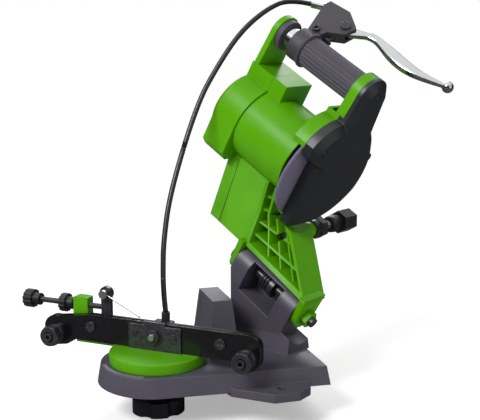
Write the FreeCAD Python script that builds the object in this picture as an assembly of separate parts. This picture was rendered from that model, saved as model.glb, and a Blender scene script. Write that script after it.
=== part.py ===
import FreeCAD, Part
import math
import os
from FreeCAD import Vector as V

# Electric chainsaw sharpener, millimetres, +Z up.
# Origin: midway between the two foot holes, at the underside of the feet.
# Three working frames are used, and each has its own placement:
# base frame: the model's own axes, with its origin on the turntable axis
# vise frame: X along the rails, Y to the rear of the vise, Z up
# head frame: X along the motor and hinge axis, Y to the rear, Z up the tilted arm

# Driving dimensions of the base
TOOTH_Z = 64.0
DECK_Z = 20.5
WALL_Z = 3.0
DECK_T = 4.0
SKIRT_T = 4.0
PAD_R = 56.0
PAD_DRAFT = 3.0
BODY_FRONT_HALF = 52.0
BODY_REAR_HALF = 65.0
BODY_REAR_Y = 148.0
FOOT_T = 8.0
FOOT_HOLE_X = 73.0
FOOT_HOLE_Y = 97.0
FOOT_HOLE_R = 4.25
PIVOT_R = 6.0
PIVOT_BOSS_R = 14.0
RUN_CLEAR = 0.05
FREE_CLEAR = 0.3

# Scale ticks on the pad
TICK_COUNT = 13
TICK_STEP_DEG = 5.0
TICK_CENTRE_DEG = -58.0
TICK_R0 = 48.5
TICK_H = 0.5
TICK_W = 0.8

# Stop post that the depth screw lands on
POST_X = -23.0
POST_Y = 62.5
POST_LONG = 50.0
POST_WIDE = 19.0
POST_TOP_Z = 73.0
POST_FLARE = 6.0

# Tilted head frame
HEAD_TURN_DEG = 32.0
HEAD_TILT_DEG = 30.0
HINGE_Y = 111.0
HINGE_Z = 36.5
SPINDLE_Y = 145.5
SPINDLE_Z = 147.5

# Tower that carries the hinge pin
TOWER_D0 = -8.0
TOWER_D1 = 74.0
BARREL_R = 17.0
TOWER_DEPTH = 28.0
TOWER_FOOT_X0 = 8.0
TOWER_FOOT_X1 = 82.0
PIN_R = 5.0
POCKET_D0 = 11.0
POCKET_D1 = 54.0
POCKET_SKIN = 4.0
PLINTH_H = 16.0
PLINTH_FLARE = 5.0
EAR_SWEEP_R = 27.5
ARM_SWEEP_R = 20.3

# Torsion spring on the hinge pin
SPRING_WIRE_R = 1.2
SPRING_MEAN_R = 8.6
SPRING_PITCH = 3.2
SPRING_TURNS = 3
SPRING_START_D = 23.0
SPRING_LEG = 9.0

# Vise
VISE_TURN_DEG = 50.0
DISC_R = 45.0
DISC_GAP = 0.4
RAIL_T = 3.0
RAIL_TOP_Z = 57.0
RAIL_BOTTOM_Z = 31.0
DISC_T = RAIL_BOTTOM_Z - DECK_Z - DISC_GAP
CHAIN_GAP = 2.4
RAIL_LEFT_U = -108.0
RAIL_RIGHT_U = 92.0
RAIL_END_Z = 36.0
RAIL_END_R = 13.0
PLATE_HALF = 27.0
PLATE_T = 2.0
PLATE_TOP_Z = 55.0
STUD_R = 3.0
STUD_Z = 45.5
END_BOLT_R = 4.0
END_HEX = 20.0

# Chain stop
STOP_Y = 8.5
STOP_SCREW_Z = 62.5
STOP_SCREW_R = 2.5
STOP_BLOCK_U = -86.0
STOP_BLOCK_L = 16.0
STOP_ARM_U = -58.0
STOP_PIVOT_Z = 77.0

# Lock knob under the pad
KNOB_R = 25.0
KNOB_T = 14.0
KNOB_TOP_Z = -14.0
KNOB_HUB_R = 12.0
KNOB_LOBES = 6

# Wheel and spindle
WHEEL_R = 54.0
WHEEL_T = 3.2
WHEEL_BORE_R = 11.5
SHAFT_R = 4.0
FLANGE_R = 17.0

# Motor housing and guard
MOTOR_R = 39.0
MOTOR_WALL = 2.8
MOTOR_NEAR_D = -12.5
SEAM_D = -80.0
CAP_FAR_D = -115.0
CAP_R = 41.0
CAP_WALL = 3.2
CAP_FOOT_CHAMFER = 7.5
GUARD_R = 62.0
GUARD_WALL = 3.0
GUARD_BACK_D = -12.0
GUARD_BACK_T = 3.5
COVER_BACK_D = 3.0
COVER_RIM_D = 12.0
COVER_FACE_D = 18.5
COVER_BEVEL = 8.0
COVER_WALL = 2.6
COVER_LOBE_D = 8.0
COVER_SCREWS = ((-33.0, 35.0), (10.0, 91.0), (34.0, -29.0))
COVER_SCREW_R = 2.6
COVER_RECESS = 1.2
LOBE_Y = 10.0
LOBE_Z = 87.0
LOBE_R = 20.0

# Handle and brake lever
HANDLE_Y = 8.0
HANDLE_Z = 88.0
TUBE_R = 11.1
GRIP_R = 15.4
GRIP_RIBS = 24
GRIP_D0 = -72.0
POST_FAR_D = -104.0
POST_FAR_T = 6.0
LEVER_ROLL_DEG = 30.0
LEVER_LIFT = 6.0
LEVER_PIVOT_D = -64.0
LEVER_PIVOT_E = 41.0

# Depth screw
DEPTH_D = 12.0
DEPTH_Z = 78.0
DEPTH_TIP_Y = 128.0
DEPTH_R = 4.0

# Switch and mains inlet on the end cover
SWITCH_Y = 16.0
SWITCH_Z = -2.0
ROCKER_REST_DEG = 7.0
GLAND_Z = -28.0
GLAND_BORE_R = 3.4

CABLE_R = 2.5


def frame(x_axis, y_axis, z_axis, origin):
    """Return the placement of a working frame from its axes and origin."""
    m = FreeCAD.Matrix(
        x_axis.x, y_axis.x, z_axis.x, origin.x,
        x_axis.y, y_axis.y, z_axis.y, origin.y,
        x_axis.z, y_axis.z, z_axis.z, origin.z,
        0, 0, 0, 1)
    return FreeCAD.Placement(m)


def head_axes():
    """Return the head frame's three unit vectors in the base frame."""
    turn = math.radians(HEAD_TURN_DEG)
    tilt = math.radians(HEAD_TILT_DEG)
    across = V(math.cos(turn), math.sin(turn), 0)
    back = V(-math.sin(turn), math.cos(turn), 0)
    up = V(0, 0, 1)
    axle = across * math.cos(tilt) - up * math.sin(tilt)
    rise = across * math.sin(tilt) + up * math.cos(tilt)
    return axle, back, rise


TOOTH = V(0, 0, TOOTH_Z)
HEAD = frame(*head_axes(), TOOTH)
vise_turn = math.radians(VISE_TURN_DEG)
VISE = frame(V(math.cos(vise_turn), math.sin(vise_turn), 0),
             V(-math.sin(vise_turn), math.cos(vise_turn), 0), V(0, 0, 1), V(0, 0, 0))
lever_roll = math.radians(LEVER_ROLL_DEG)
# Lever frame inside the head frame: X along the bar, Y away from it, Z out of the lever's plane
LEVER = frame(V(1, 0, 0), V(0, math.cos(lever_roll), math.sin(lever_roll)),
              V(0, -math.sin(lever_roll), math.cos(lever_roll)),
              V(0, SPINDLE_Y + HANDLE_Y, SPINDLE_Z + HANDLE_Z))


def put(shape, *placements):
    """Return the shape moved through the placements, innermost first."""
    out = shape.copy()
    for p in placements:
        out = out.transformed(p.toMatrix(), True)
    return out


def block(x0, x1, y0, y1, z0, z1):
    """Return a box between two corners."""
    return Part.makeBox(x1 - x0, y1 - y0, z1 - z0, V(x0, y0, z0))


def rod(start, direction, radius, length):
    """Return a cylinder from a start point along a direction."""
    return Part.makeCylinder(radius, length, start, direction)


def tube(start, direction, outer, inner, length):
    """Return a hollow cylinder."""
    return rod(start, direction, outer, length).cut(rod(start, direction, inner, length))


def plate(points, normal):
    """Return the prism of a closed polygon along a vector."""
    wire = Part.makePolygon(list(points) + [points[0]])
    return Part.Face(wire).extrude(normal)


def hexagon(centre, direction, flats, length):
    """Return a hexagonal prism with the given width across flats."""
    r = flats / math.sqrt(3)
    d = V(direction).normalize()
    side = d.cross(V(0, 0, 1)) if abs(d.z) < 0.9 else d.cross(V(1, 0, 0))
    side.normalize()
    up = d.cross(side)
    pts = [centre + side * (r * math.cos(k * math.pi / 3)) + up * (r * math.sin(k * math.pi / 3))
           for k in range(6)]
    return plate(pts, d * length)


def join(shapes):
    """Return one shape fused from several."""
    out = shapes[0]
    if len(shapes) > 1:
        out = out.fuse(shapes[1:])
    return out.removeSplitter()


def group(shapes):
    """Return separate solids as one compound."""
    return Part.makeCompound(shapes)


def lobed(centre, radius, thickness, lobes, bite):
    """Return a hand knob along +Z with shallow bites between its lobes."""
    body = rod(centre, V(0, 0, 1), radius, thickness)
    cuts = []
    for k in range(lobes):
        a = 2 * math.pi * (k + 0.5) / lobes
        p = centre + V(math.cos(a), math.sin(a), 0) * (radius + bite * 1.2) - V(0, 0, 1)
        cuts.append(rod(p, V(0, 0, 1), bite * 1.9, thickness + 2))
    return body.cut(cuts)


def arc_wire(parts):
    """Return a closed wire from runs: ("line", p) or ("arc", mid, p), starting at the last point."""
    edges = []
    here = parts[-1][-1]
    for item in parts:
        if item[0] == "line":
            edges.append(Part.LineSegment(here, item[1]).toShape())
        else:
            edges.append(Part.Arc(here, item[1], item[2]).toShape())
        here = item[-1]
    return Part.Wire(edges)


# Base

def tower_prism():
    """Return the tower's tilted-top column, in the base frame."""
    axle, back, rise = head_axes()
    turn = math.radians(HEAD_TURN_DEG)
    across = V(math.cos(turn), math.sin(turn), 0)
    y0 = HINGE_Y - BARREL_R

    def at(x, z):
        return across * x + back * y0 + V(0, 0, z)

    def on_axis(d, z):
        p = axle * d + rise * z
        return at(p.dot(across), TOOTH_Z + p.z)

    low = DECK_Z - DECK_T
    far_low = on_axis(TOWER_D0, HINGE_Z - (on_axis(TOWER_D0, HINGE_Z).dot(across) - TOWER_FOOT_X0)
                      / math.sin(math.radians(HEAD_TILT_DEG)))
    pts = [on_axis(TOWER_D0, HINGE_Z), on_axis(TOWER_D1, HINGE_Z),
           at(TOWER_FOOT_X1, low), at(TOWER_FOOT_X0, low), far_low]
    return plate(pts, back * TOWER_DEPTH)


def plinth():
    """Return the tapered foot of the tower."""
    axle, back, rise = head_axes()
    turn = math.radians(HEAD_TURN_DEG)
    across = V(math.cos(turn), math.sin(turn), 0)

    def ring(z, grow):
        x0, x1 = TOWER_FOOT_X0 - grow, TOWER_FOOT_X1 + grow * 0.4
        y0, y1 = HINGE_Y - BARREL_R - grow, HINGE_Y - BARREL_R + TOWER_DEPTH + grow * 0.2
        c = [across * x + back * y + V(0, 0, z) for x, y in ((x0, y0), (x1, y0), (x1, y1), (x0, y1))]
        return Part.makePolygon(c + [c[0]])

    return Part.makeLoft([ring(DECK_Z - 1, PLINTH_FLARE), ring(DECK_Z + PLINTH_H, 0.0)], True, True)


def base_outline(grow):
    """Return the outline of the base body at z=0, offset outward by grow."""
    r = PAD_R + grow
    a = math.radians(-14.0)
    right = V(r * math.cos(a), r * math.sin(a), 0)
    left = V(-right.x, right.y, 0)
    rear_r = V(BODY_REAR_HALF + grow, BODY_REAR_Y + grow, 0)
    rear_l = V(-rear_r.x, rear_r.y, 0)
    return arc_wire([("arc", V(0, -r, 0), right), ("line", rear_r), ("line", rear_l), ("line", left)])


def base_casting():
    """Return the base: pad, skirt, feet, stop post and tower in one casting."""
    top = base_outline(-PAD_DRAFT)
    top.translate(V(0, 0, DECK_Z))
    low = base_outline(0.0)
    low.translate(V(0, 0, WALL_Z))
    body = Part.makeLoft([low, top], True, True)
    top_in = base_outline(-PAD_DRAFT - SKIRT_T)
    top_in.translate(V(0, 0, DECK_Z - DECK_T))
    low_in = base_outline(-SKIRT_T)
    low_in.translate(V(0, 0, WALL_Z - 1))
    body = body.cut(Part.makeLoft([low_in, top_in], True, True))
    boss = rod(V(0, 0, WALL_Z), V(0, 0, 1), PIVOT_BOSS_R, DECK_Z - WALL_Z - 1)
    pieces = [body, boss]
    for side in (-1, 1):
        pts = [V(side * 50.0, 52.0, 0), V(side * 60.0, 54.0, 0), V(side * 87.0, 86.0, 0),
               V(side * 87.0, 110.0, 0), V(side * 76.0, 124.0, 0), V(side * 52.0, 130.0, 0)]
        foot = plate(pts, V(0, 0, FOOT_T))
        foot = foot.cut(rod(V(side * FOOT_HOLE_X, FOOT_HOLE_Y, -1), V(0, 0, 1), FOOT_HOLE_R, FOOT_T + 2))
        pieces.append(foot)
    for y in (40.0, 80.0, 120.0):
        half = BODY_FRONT_HALF - 4
        pieces.append(block(-half, half, y - 1.5, y + 1.5, WALL_Z + 4, DECK_Z - 1))
    lower = [V(POST_X - POST_LONG / 2 - POST_FLARE, POST_Y - POST_WIDE / 2 - POST_FLARE, DECK_Z - 1),
             V(POST_X + POST_LONG / 2 + POST_FLARE, POST_Y - POST_WIDE / 2 - POST_FLARE, DECK_Z - 1),
             V(POST_X + POST_LONG / 2 + POST_FLARE, POST_Y + POST_WIDE / 2 + POST_FLARE, DECK_Z - 1),
             V(POST_X - POST_LONG / 2 - POST_FLARE, POST_Y + POST_WIDE / 2 + POST_FLARE, DECK_Z - 1)]
    upper = [V(POST_X - POST_LONG / 2, POST_Y - POST_WIDE / 2, POST_TOP_Z),
             V(POST_X + POST_LONG / 2, POST_Y - POST_WIDE / 2, POST_TOP_Z),
             V(POST_X + POST_LONG / 2, POST_Y + POST_WIDE / 2, POST_TOP_Z),
             V(POST_X - POST_LONG / 2, POST_Y + POST_WIDE / 2, POST_TOP_Z)]
    pieces.append(Part.makeLoft([Part.makePolygon(lower + [lower[0]]),
                                 Part.makePolygon(upper + [upper[0]])], True, True))
    axis = V(0, HINGE_Y, HINGE_Z)
    barrel = rod(axis + V(TOWER_D0, 0, 0), V(1, 0, 0), BARREL_R, TOWER_D1 - TOWER_D0)
    pieces += [put(barrel, HEAD), tower_prism(), plinth()]
    casting = join(pieces)
    pocket = block(POCKET_D0, POCKET_D1, HINGE_Y - BARREL_R - 20, HINGE_Y + BARREL_R - POCKET_SKIN,
                   HINGE_Z - BARREL_R - 3, HINGE_Z + BARREL_R - POCKET_SKIN)
    skin = tube(V(POCKET_D0, HINGE_Y, HINGE_Z), V(1, 0, 0), BARREL_R, BARREL_R - POCKET_SKIN,
                POCKET_D1 - POCKET_D0)
    keep = skin.common(block(POCKET_D0, POCKET_D1, HINGE_Y - 8, HINGE_Y + 30, HINGE_Z, HINGE_Z + 30))
    casting = casting.cut([put(pocket.cut(keep), HEAD)])
    bore = rod(axis + V(TOWER_D0 - 5, 0, 0), V(1, 0, 0), PIN_R + RUN_CLEAR, TOWER_D1 - TOWER_D0 + 40)
    sweep = rod(axis + V(TOWER_D1, 0, 0), V(1, 0, 0), EAR_SWEEP_R, 30)
    pivot = rod(V(0, 0, -5), V(0, 0, 1), PIVOT_R + RUN_CLEAR, DECK_Z + 10)
    casting = casting.cut([put(bore, HEAD), put(sweep, HEAD), pivot])
    ticks = []
    for k in range(TICK_COUNT):
        a = TICK_CENTRE_DEG + (k - (TICK_COUNT - 1) / 2) * TICK_STEP_DEG
        length = 4.0 if k % 3 == 0 else 2.6
        bar = block(TICK_R0, TICK_R0 + length, -TICK_W / 2, TICK_W / 2, DECK_Z - 0.5, DECK_Z + TICK_H)
        bar.rotate(V(0, 0, 0), V(0, 0, 1), a)
        ticks.append(bar)
    return join([casting] + ticks)


def spring():
    """Return the torsion spring as one unbroken wire with two straight legs."""
    r, pitch = SPRING_MEAN_R, SPRING_PITCH
    steps = 2

    def at(turns):
        a = 2 * math.pi * turns
        return V(SPRING_START_D + pitch * turns, HINGE_Y + r * math.cos(a), HINGE_Z + r * math.sin(a))

    def heading(turns):
        a = 2 * math.pi * turns
        t = V(pitch / (2 * math.pi), -r * math.sin(a), r * math.cos(a))
        return t.normalize()

    edges = []
    start = at(0)
    leg_a = start - heading(0) * SPRING_LEG
    edges.append(Part.LineSegment(leg_a, start).toShape())
    here, way = start, heading(0)
    for k in range(1, SPRING_TURNS * steps + 1):
        there, onward = at(k / steps), heading(k / steps)
        chord = there - here
        # two tangent arcs meet at a point found from equal tangent lengths
        b = chord.dot(way + onward)
        c = 2 * (1 - way.dot(onward))
        reach = (-b + math.sqrt(b * b + c * chord.dot(chord))) / c
        meet = (here + way * reach + there - onward * reach) * 0.5
        edges.append(tangent_arc(here, way, meet))
        mid_way = (there - onward * reach - here - way * reach).normalize()
        edges.append(tangent_arc(meet, mid_way, there))
        here, way = there, onward
    edges.append(Part.LineSegment(here, here + way * SPRING_LEG).toShape())
    path = Part.Wire(edges)
    # the wire's section is a hexagon of the same area as the round wire
    bar = hexagon(leg_a, heading(0), SPRING_WIRE_R * 1.9, 1.0)
    profile = [f for f in bar.Faces if f.CenterOfMass.distanceToPoint(leg_a) < 0.01][0].OuterWire
    shell = Part.BRepOffsetAPI.MakePipeShell(path)
    shell.add(profile)
    shell.build()
    shell.makeSolid()
    print("spring least gap to itself", round(pitch - 2 * SPRING_WIRE_R, 2))
    return put(shell.shape(), HEAD)


def tangent_arc(start, direction, end):
    """Return the arc from start to end that leaves start along direction."""
    chord = end - start
    side = chord - direction * chord.dot(direction)
    side.normalize()
    radius = chord.dot(chord) / (2 * chord.dot(side))
    centre = start + side * radius
    half = ((start - centre).normalize() + (end - centre).normalize()).normalize()
    return Part.Arc(start, centre + half * radius, end).toShape()


# Vise

def rail_face(y):
    """Return the outline of one rail as a face at the given depth."""
    lu, ru, ez, r = RAIL_LEFT_U, RAIL_RIGHT_U, RAIL_END_Z, RAIL_END_R
    s = math.sqrt(0.5)
    wire = arc_wire([
        ("line", V(ru, y, RAIL_TOP_Z)),
        ("arc", V(ru + r * s + 1, y, RAIL_TOP_Z - 4.5), V(ru + r, y, RAIL_TOP_Z - 13)),
        ("line", V(ru + r, y, ez)),
        ("arc", V(ru + r * s, y, ez - r * s), V(ru, y, ez - r)),
        ("line", V(ru - 10, y, ez - r + 2)),
        ("line", V(ru - 16, y, RAIL_BOTTOM_Z)),
        ("line", V(lu + 22, y, RAIL_BOTTOM_Z)),
        ("line", V(lu + 12, y, ez - r + 2)),
        ("line", V(lu, y, ez - r)),
        ("arc", V(lu - r * s, y, ez - r * s), V(lu - r, y, ez)),
        ("line", V(lu - r, y, RAIL_TOP_Z - 15)),
        ("arc", V(lu - r * s, y, RAIL_TOP_Z - 8), V(lu + 2, y, RAIL_TOP_Z - 5)),
        ("line", V(lu + 38, y, RAIL_TOP_Z))])
    return Part.Face(wire)


def rail(y):
    """Return one rail with its bolt holes, from y to y + RAIL_T."""
    body = rail_face(y).extrude(V(0, RAIL_T, 0))
    holes = [rod(V(u, y - 1, RAIL_END_Z - 1.5), V(0, 1, 0), END_BOLT_R + FREE_CLEAR, RAIL_T + 2)
             for u in (RAIL_LEFT_U, RAIL_RIGHT_U)]
    holes.append(rod(V(0, y - 1, STUD_Z), V(0, 1, 0), STUD_R + FREE_CLEAR, RAIL_T + 2))
    return body.cut(holes)


NEAR_FACE = -CHAIN_GAP / 2 - RAIL_T
FAR_FACE = CHAIN_GAP / 2
PLATE_FACE = NEAR_FACE - PLATE_T
CABLE_FOOT_U = 2.0
CABLE_FOOT_Y = FAR_FACE + RAIL_T + 9.5


def turntable():
    """Return the green turntable disc with the arm that holds the stop block."""
    z0 = DECK_Z + DISC_GAP
    disc = rod(V(0, 0, z0), V(0, 0, 1), DISC_R, DISC_T)
    disc = disc.makeChamfer(1.2, [e for e in disc.Edges if e.BoundBox.ZMin > z0 + DISC_T - 0.1])
    arm = block(STOP_BLOCK_U - STOP_BLOCK_L / 2, -20, STOP_Y + 1, STOP_Y + 11, z0 + 3, z0 + DISC_T + 3)
    top = z0 + DISC_T
    pier = block(-20, 20, FAR_FACE + RAIL_T + 8, FAR_FACE + RAIL_T + 20, z0 + 3, top + 4)
    hub = rod(V(0, 0, z0 - 1), V(0, 0, 1), PIVOT_R, DISC_T - 2)
    return join([disc, arm, pier]).cut(hub)


def stop_block():
    """Return the green block that the stop screw is threaded through."""
    u0 = STOP_BLOCK_U - STOP_BLOCK_L / 2
    z0 = DECK_Z + DISC_GAP + DISC_T + 3
    body = block(u0, u0 + STOP_BLOCK_L, STOP_Y - 3.5, STOP_Y + 7, z0, STOP_SCREW_Z + 8)
    edges = [e for e in body.Edges if e.BoundBox.ZMin > STOP_SCREW_Z + 7 and e.BoundBox.XLength < 1]
    body = body.makeFillet(2.0, edges)
    return body.cut(rod(V(u0 - 1, STOP_Y, STOP_SCREW_Z), V(1, 0, 0), STOP_SCREW_R + RUN_CLEAR,
                        STOP_BLOCK_L + 2))


def knob(u, length, hub_length, outer):
    """Return a small knurled knob on the stop screw, with its hub towards +X."""
    head = rod(V(u, STOP_Y, STOP_SCREW_Z), V(1, 0, 0), outer, length)
    hub = rod(V(u + length, STOP_Y, STOP_SCREW_Z), V(1, 0, 0), outer * 0.66, hub_length)
    grooves = []
    for k in range(12):
        a = k * math.pi / 6
        p = V(u - 1, STOP_Y + math.cos(a) * (outer + 0.5), STOP_SCREW_Z + math.sin(a) * (outer + 0.5))
        grooves.append(rod(p, V(1, 0, 0), 1.3, length + 2))
    return join([head, hub]).cut(grooves)


def hex_nut(u, z, y, flats, length, bore):
    """Return a nut along -Y from y."""
    return hexagon(V(u, y, z), V(0, -1, 0), flats, length).cut(
        rod(V(u, y + 1, z), V(0, -1, 0), bore, length + 2))


def vise_nodes():
    """Return the vise's pieces by node name, in the base frame."""
    n = {}
    n["turntable"] = turntable()
    n["pivot_stud"] = rod(V(0, 0, KNOB_TOP_Z + 6 - KNOB_T), V(0, 0, 1), PIVOT_R,
                          DECK_Z + DISC_GAP + DISC_T - 3 - (KNOB_TOP_Z + 6 - KNOB_T))
    n["pad_washer"] = tube(V(0, 0, WALL_Z - 2.3), V(0, 0, 1), 13.0, PIVOT_R + 0.4, 2.0)
    n["front_rail"] = rail(NEAR_FACE)
    ends = (RAIL_LEFT_U, RAIL_RIGHT_U)
    bolts = []
    nuts = []
    far = FAR_FACE + RAIL_T
    for u in ends:
        z = RAIL_END_Z - 1.5
        bolts.append(tube(V(u, NEAR_FACE - 16, z), V(0, 1, 0), END_BOLT_R, 2.2, 16 + far - NEAR_FACE + 10))
        nuts.append(hex_nut(u, z, NEAR_FACE, END_HEX, 8.0, END_BOLT_R))
        nuts.append(tube(V(u, NEAR_FACE - 14, z), V(0, 1, 0), 7.2, END_BOLT_R, 6.0))
    n["end_bolts"] = group(bolts)
    n["end_nuts"] = group(nuts)
    body = block(-PLATE_HALF, PLATE_HALF, PLATE_FACE, NEAR_FACE, RAIL_BOTTOM_Z, PLATE_TOP_Z)
    tab = block(-11, 11, PLATE_FACE, NEAR_FACE, PLATE_TOP_Z - 1, PLATE_TOP_Z + 3.5)
    n["centre_plate"] = join([body, tab]).cut(
        rod(V(0, PLATE_FACE - 1, STUD_Z), V(0, 1, 0), STUD_R + FREE_CLEAR, PLATE_T + 2))
    screws = []
    for u, z, r, face in ((-20.5, 47.0, 2.4, PLATE_FACE), (20.5, 47.0, 2.4, PLATE_FACE),
                          (-69.0, 45.5, 5.0, NEAR_FACE), (66.0, 45.5, 5.0, NEAR_FACE)):
        head = rod(V(u, face, z), V(0, -1, 0), r, 1.8)
        cross = join([block(u - r * 0.6, u + r * 0.6, face - 3, face - 1, z - r * 0.14, z + r * 0.14),
                      block(u - r * 0.14, u + r * 0.14, face - 3, face - 1, z - r * 0.6, z + r * 0.6)])
        screws.append(head.cut(cross))
    n["plate_screws"] = group(screws)
    n["clamp_stud"] = rod(V(0, PLATE_FACE - 7.5, STUD_Z), V(0, 1, 0), STUD_R, far + 19 - PLATE_FACE)
    n["clamp_nut"] = hex_nut(0, STUD_Z, PLATE_FACE, 12.0, 5.0, STUD_R)
    anchor = block(-9, 9, far + 5, far + 14, DECK_Z + DISC_GAP + DISC_T + 4.0, STUD_Z + 9)
    anchor = anchor.cut([rod(V(0, far, STUD_Z), V(0, 1, 0), STUD_R, 30)])
    ferrule = tube(V(CABLE_FOOT_U, CABLE_FOOT_Y, STUD_Z + 9), V(0, 0, 1), 4.0, CABLE_R + 0.1, 9.0)
    n["cable_anchor"] = join([anchor, ferrule])
    n["stop_block"] = stop_block()
    # chain stop: arm, its pivot screw and the screw that sets it
    lo = RAIL_TOP_Z - 13
    arm = block(STOP_ARM_U - 5, STOP_ARM_U + 5, STOP_Y - 3, STOP_Y + 2, lo, STOP_PIVOT_Z)
    eye = rod(V(STOP_ARM_U, STOP_Y - 3, STOP_PIVOT_Z), V(0, 1, 0), 6.5, 5)
    n["stop_arm"] = join([arm, eye]).cut(
        rod(V(STOP_ARM_U, STOP_Y - 9, STOP_PIVOT_Z), V(0, 1, 0), 2.0 + RUN_CLEAR, 20))
    pin = rod(V(STOP_ARM_U, STOP_Y - 6.5, STOP_PIVOT_Z), V(0, 1, 0), 2.0, 9.0)
    head = rod(V(STOP_ARM_U, STOP_Y - 9.0, STOP_PIVOT_Z), V(0, 1, 0), 4.2, 2.5)
    n["stop_pivot_screw"] = join([pin, head])
    n["stop_finger"] = stop_finger()
    k0 = STOP_ARM_U - 5 - 86
    screw = rod(V(k0 + 3, STOP_Y, STOP_SCREW_Z), V(1, 0, 0), STOP_SCREW_R, 82.7)
    n["stop_screw"] = join([screw, knob(k0, 9.0, 7.0, 9.0)])
    n["stop_lock_knob"] = knob(STOP_BLOCK_U - STOP_BLOCK_L / 2 - 14.0, 6.5, 7.0, 9.0).cut(
        rod(V(-170, STOP_Y, STOP_SCREW_Z), V(1, 0, 0), STOP_SCREW_R + RUN_CLEAR, 170))
    lift = block(-70, 70, FAR_FACE - 1, FAR_FACE + RAIL_T + 1, RAIL_BOTTOM_Z - 1, RAIL_BOTTOM_Z + FREE_CLEAR)
    n["clamp_jaw"] = rail(FAR_FACE).cut(lift)
    hub = rod(V(0, 0, KNOB_TOP_Z - 1), V(0, 0, 1), KNOB_HUB_R, WALL_Z - 2.6 - KNOB_TOP_Z + 1)
    grip = lobed(V(0, 0, KNOB_TOP_Z - KNOB_T), KNOB_R, KNOB_T, KNOB_LOBES, 4.0)
    n["lock_knob"] = join([hub, grip]).cut(rod(V(0, 0, -60), V(0, 0, 1), PIVOT_R + RUN_CLEAR, 80))
    return {name: put(s, VISE) for name, s in n.items()}


def stop_finger():
    """Return the bent wire finger that rests on the chain."""
    y = STOP_Y - 4.6
    a = V(STOP_ARM_U, y, STOP_PIVOT_Z)
    b = V(-20.0, y, RAIL_TOP_Z + 1.2)
    ring = tube(a - V(0, 1.0, 0), V(0, 1, 0), 3.4, 2.0 + RUN_CLEAR, 2.0)
    way = (b - a).normalize()
    wire = rod(a + way * 2.7, way, 0.8, (b - a).Length - 2.7)
    return ring.fuse(wire)


# Head

def guard_outline(inset, x):
    """Return the guard's closed outline at one place along the axle."""
    r = GUARD_R - inset

    def on(deg, radius):
        a = math.radians(deg)
        return V(x, SPINDLE_Y + radius * math.cos(a), SPINDLE_Z + radius * math.sin(a))

    def rel(y, z):
        return V(x, SPINDLE_Y + y, SPINDLE_Z + z)

    lobe = LOBE_R - inset
    front = -27.0 + inset
    return arc_wire([
        ("arc", on(122, r), on(103, r)),
        ("line", rel(LOBE_Y - lobe, LOBE_Z)),
        ("arc", rel(LOBE_Y, LOBE_Z + lobe), rel(LOBE_Y + lobe, LOBE_Z)),
        ("line", on(56, r)),
        ("arc", on(18, r), on(-20, r)),
        ("arc", on(-58, r - 4), on(-98, r - 3)),
        ("line", on(-112, r)),
        ("line", rel(front, -53 + inset)),
        ("line", rel(front, 14)),
        ("line", on(150, r - 10)),
        ("line", on(141, r - 3))])


def guard_solid(inset, x0, x1):
    """Return the guard's outline extruded along the axle."""
    return Part.Face(guard_outline(inset, x0)).extrude(V(x1 - x0, 0, 0))


def motor_barrel(radius, x0, x1):
    """Return a cylinder about the spindle axis."""
    return rod(V(x0, SPINDLE_Y, SPINDLE_Z), V(1, 0, 0), radius, x1 - x0)


def saddle(x0, x1, grow):
    """Return the flat-topped block on the barrel that carries the far handle post."""
    return block(x0, x1, SPINDLE_Y - 14 + grow, SPINDLE_Y + 26 - grow,
                 SPINDLE_Z, SPINDLE_Z + 54 - grow)


def motor_housing():
    """Return the barrel shell between the guard and the end cover."""
    outer = join([motor_barrel(MOTOR_R, SEAM_D, MOTOR_NEAR_D), saddle(SEAM_D, -62, 0)])
    inner = motor_barrel(MOTOR_R - MOTOR_WALL, SEAM_D - 1, MOTOR_NEAR_D + 1)
    return outer.cut(inner)


def cover_foot(inset, x0, x1):
    """Return the square lower corner of the end cover, its outline moved inward by inset."""
    r = CAP_R - inset
    k = CAP_FOOT_CHAMFER - inset * 0.6
    corners = ((0, 0), (-r, 0), (-r, k - r), (k - r, -r), (0, -r))
    return plate([V(x0, SPINDLE_Y + y, SPINDLE_Z + z) for y, z in corners], V(x1 - x0, 0, 0))


def end_cover():
    """Return the end cover with its square foot and its far handle post."""
    gap = SEAM_D - 0.2
    body = motor_barrel(CAP_R, CAP_FAR_D, gap)
    far = [e for e in body.Edges if e.BoundBox.XMax < CAP_FAR_D + 0.1 and e.Closed]
    body = body.makeChamfer(5.0, far[:1])
    post = far_post()
    shell = join([body, saddle(CAP_FAR_D + 4, gap, 0), post, cover_foot(0, CAP_FAR_D + 5, gap)])
    inner = motor_barrel(CAP_R - CAP_WALL, CAP_FAR_D + 3.5, gap + 1)
    hollow = cover_foot(CAP_WALL, CAP_FAR_D + 5 + CAP_WALL, gap - CAP_WALL)
    slots = [block(CAP_FAR_D - 2, CAP_FAR_D + 8, SPINDLE_Y - 26, SPINDLE_Y + 4,
                   SPINDLE_Z - 18 + 6 * k, SPINDLE_Z - 15 + 6 * k) for k in range(5)]
    y, z = SPINDLE_Y + SWITCH_Y, SPINDLE_Z + SWITCH_Z
    window = block(CAP_FAR_D - 2, CAP_FAR_D + 5, y - 5.5, y + 5.5, z - 9.7, z + 9.7)
    inlet = rod(V(CAP_FAR_D - 1, SPINDLE_Y, SPINDLE_Z + GLAND_Z), V(1, 0, 0), GLAND_BORE_R, 6)
    return shell.cut([inner, hollow, window, inlet] + slots)


def far_post():
    """Return the plate that holds the far end of the handle tube."""
    y, z = SPINDLE_Y + HANDLE_Y, SPINDLE_Z + HANDLE_Z
    x = POST_FAR_D - POST_FAR_T
    r = 17.0
    wire = arc_wire([
        ("line", V(x, y - r, z)),
        ("arc", V(x, y, z + r), V(x, y + r, z)),
        ("line", V(x, SPINDLE_Y + 24, SPINDLE_Z + 50)),
        ("line", V(x, SPINDLE_Y - 13, SPINDLE_Z + 50))])
    return Part.Face(wire).extrude(V(POST_FAR_T, 0, 0))


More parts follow.
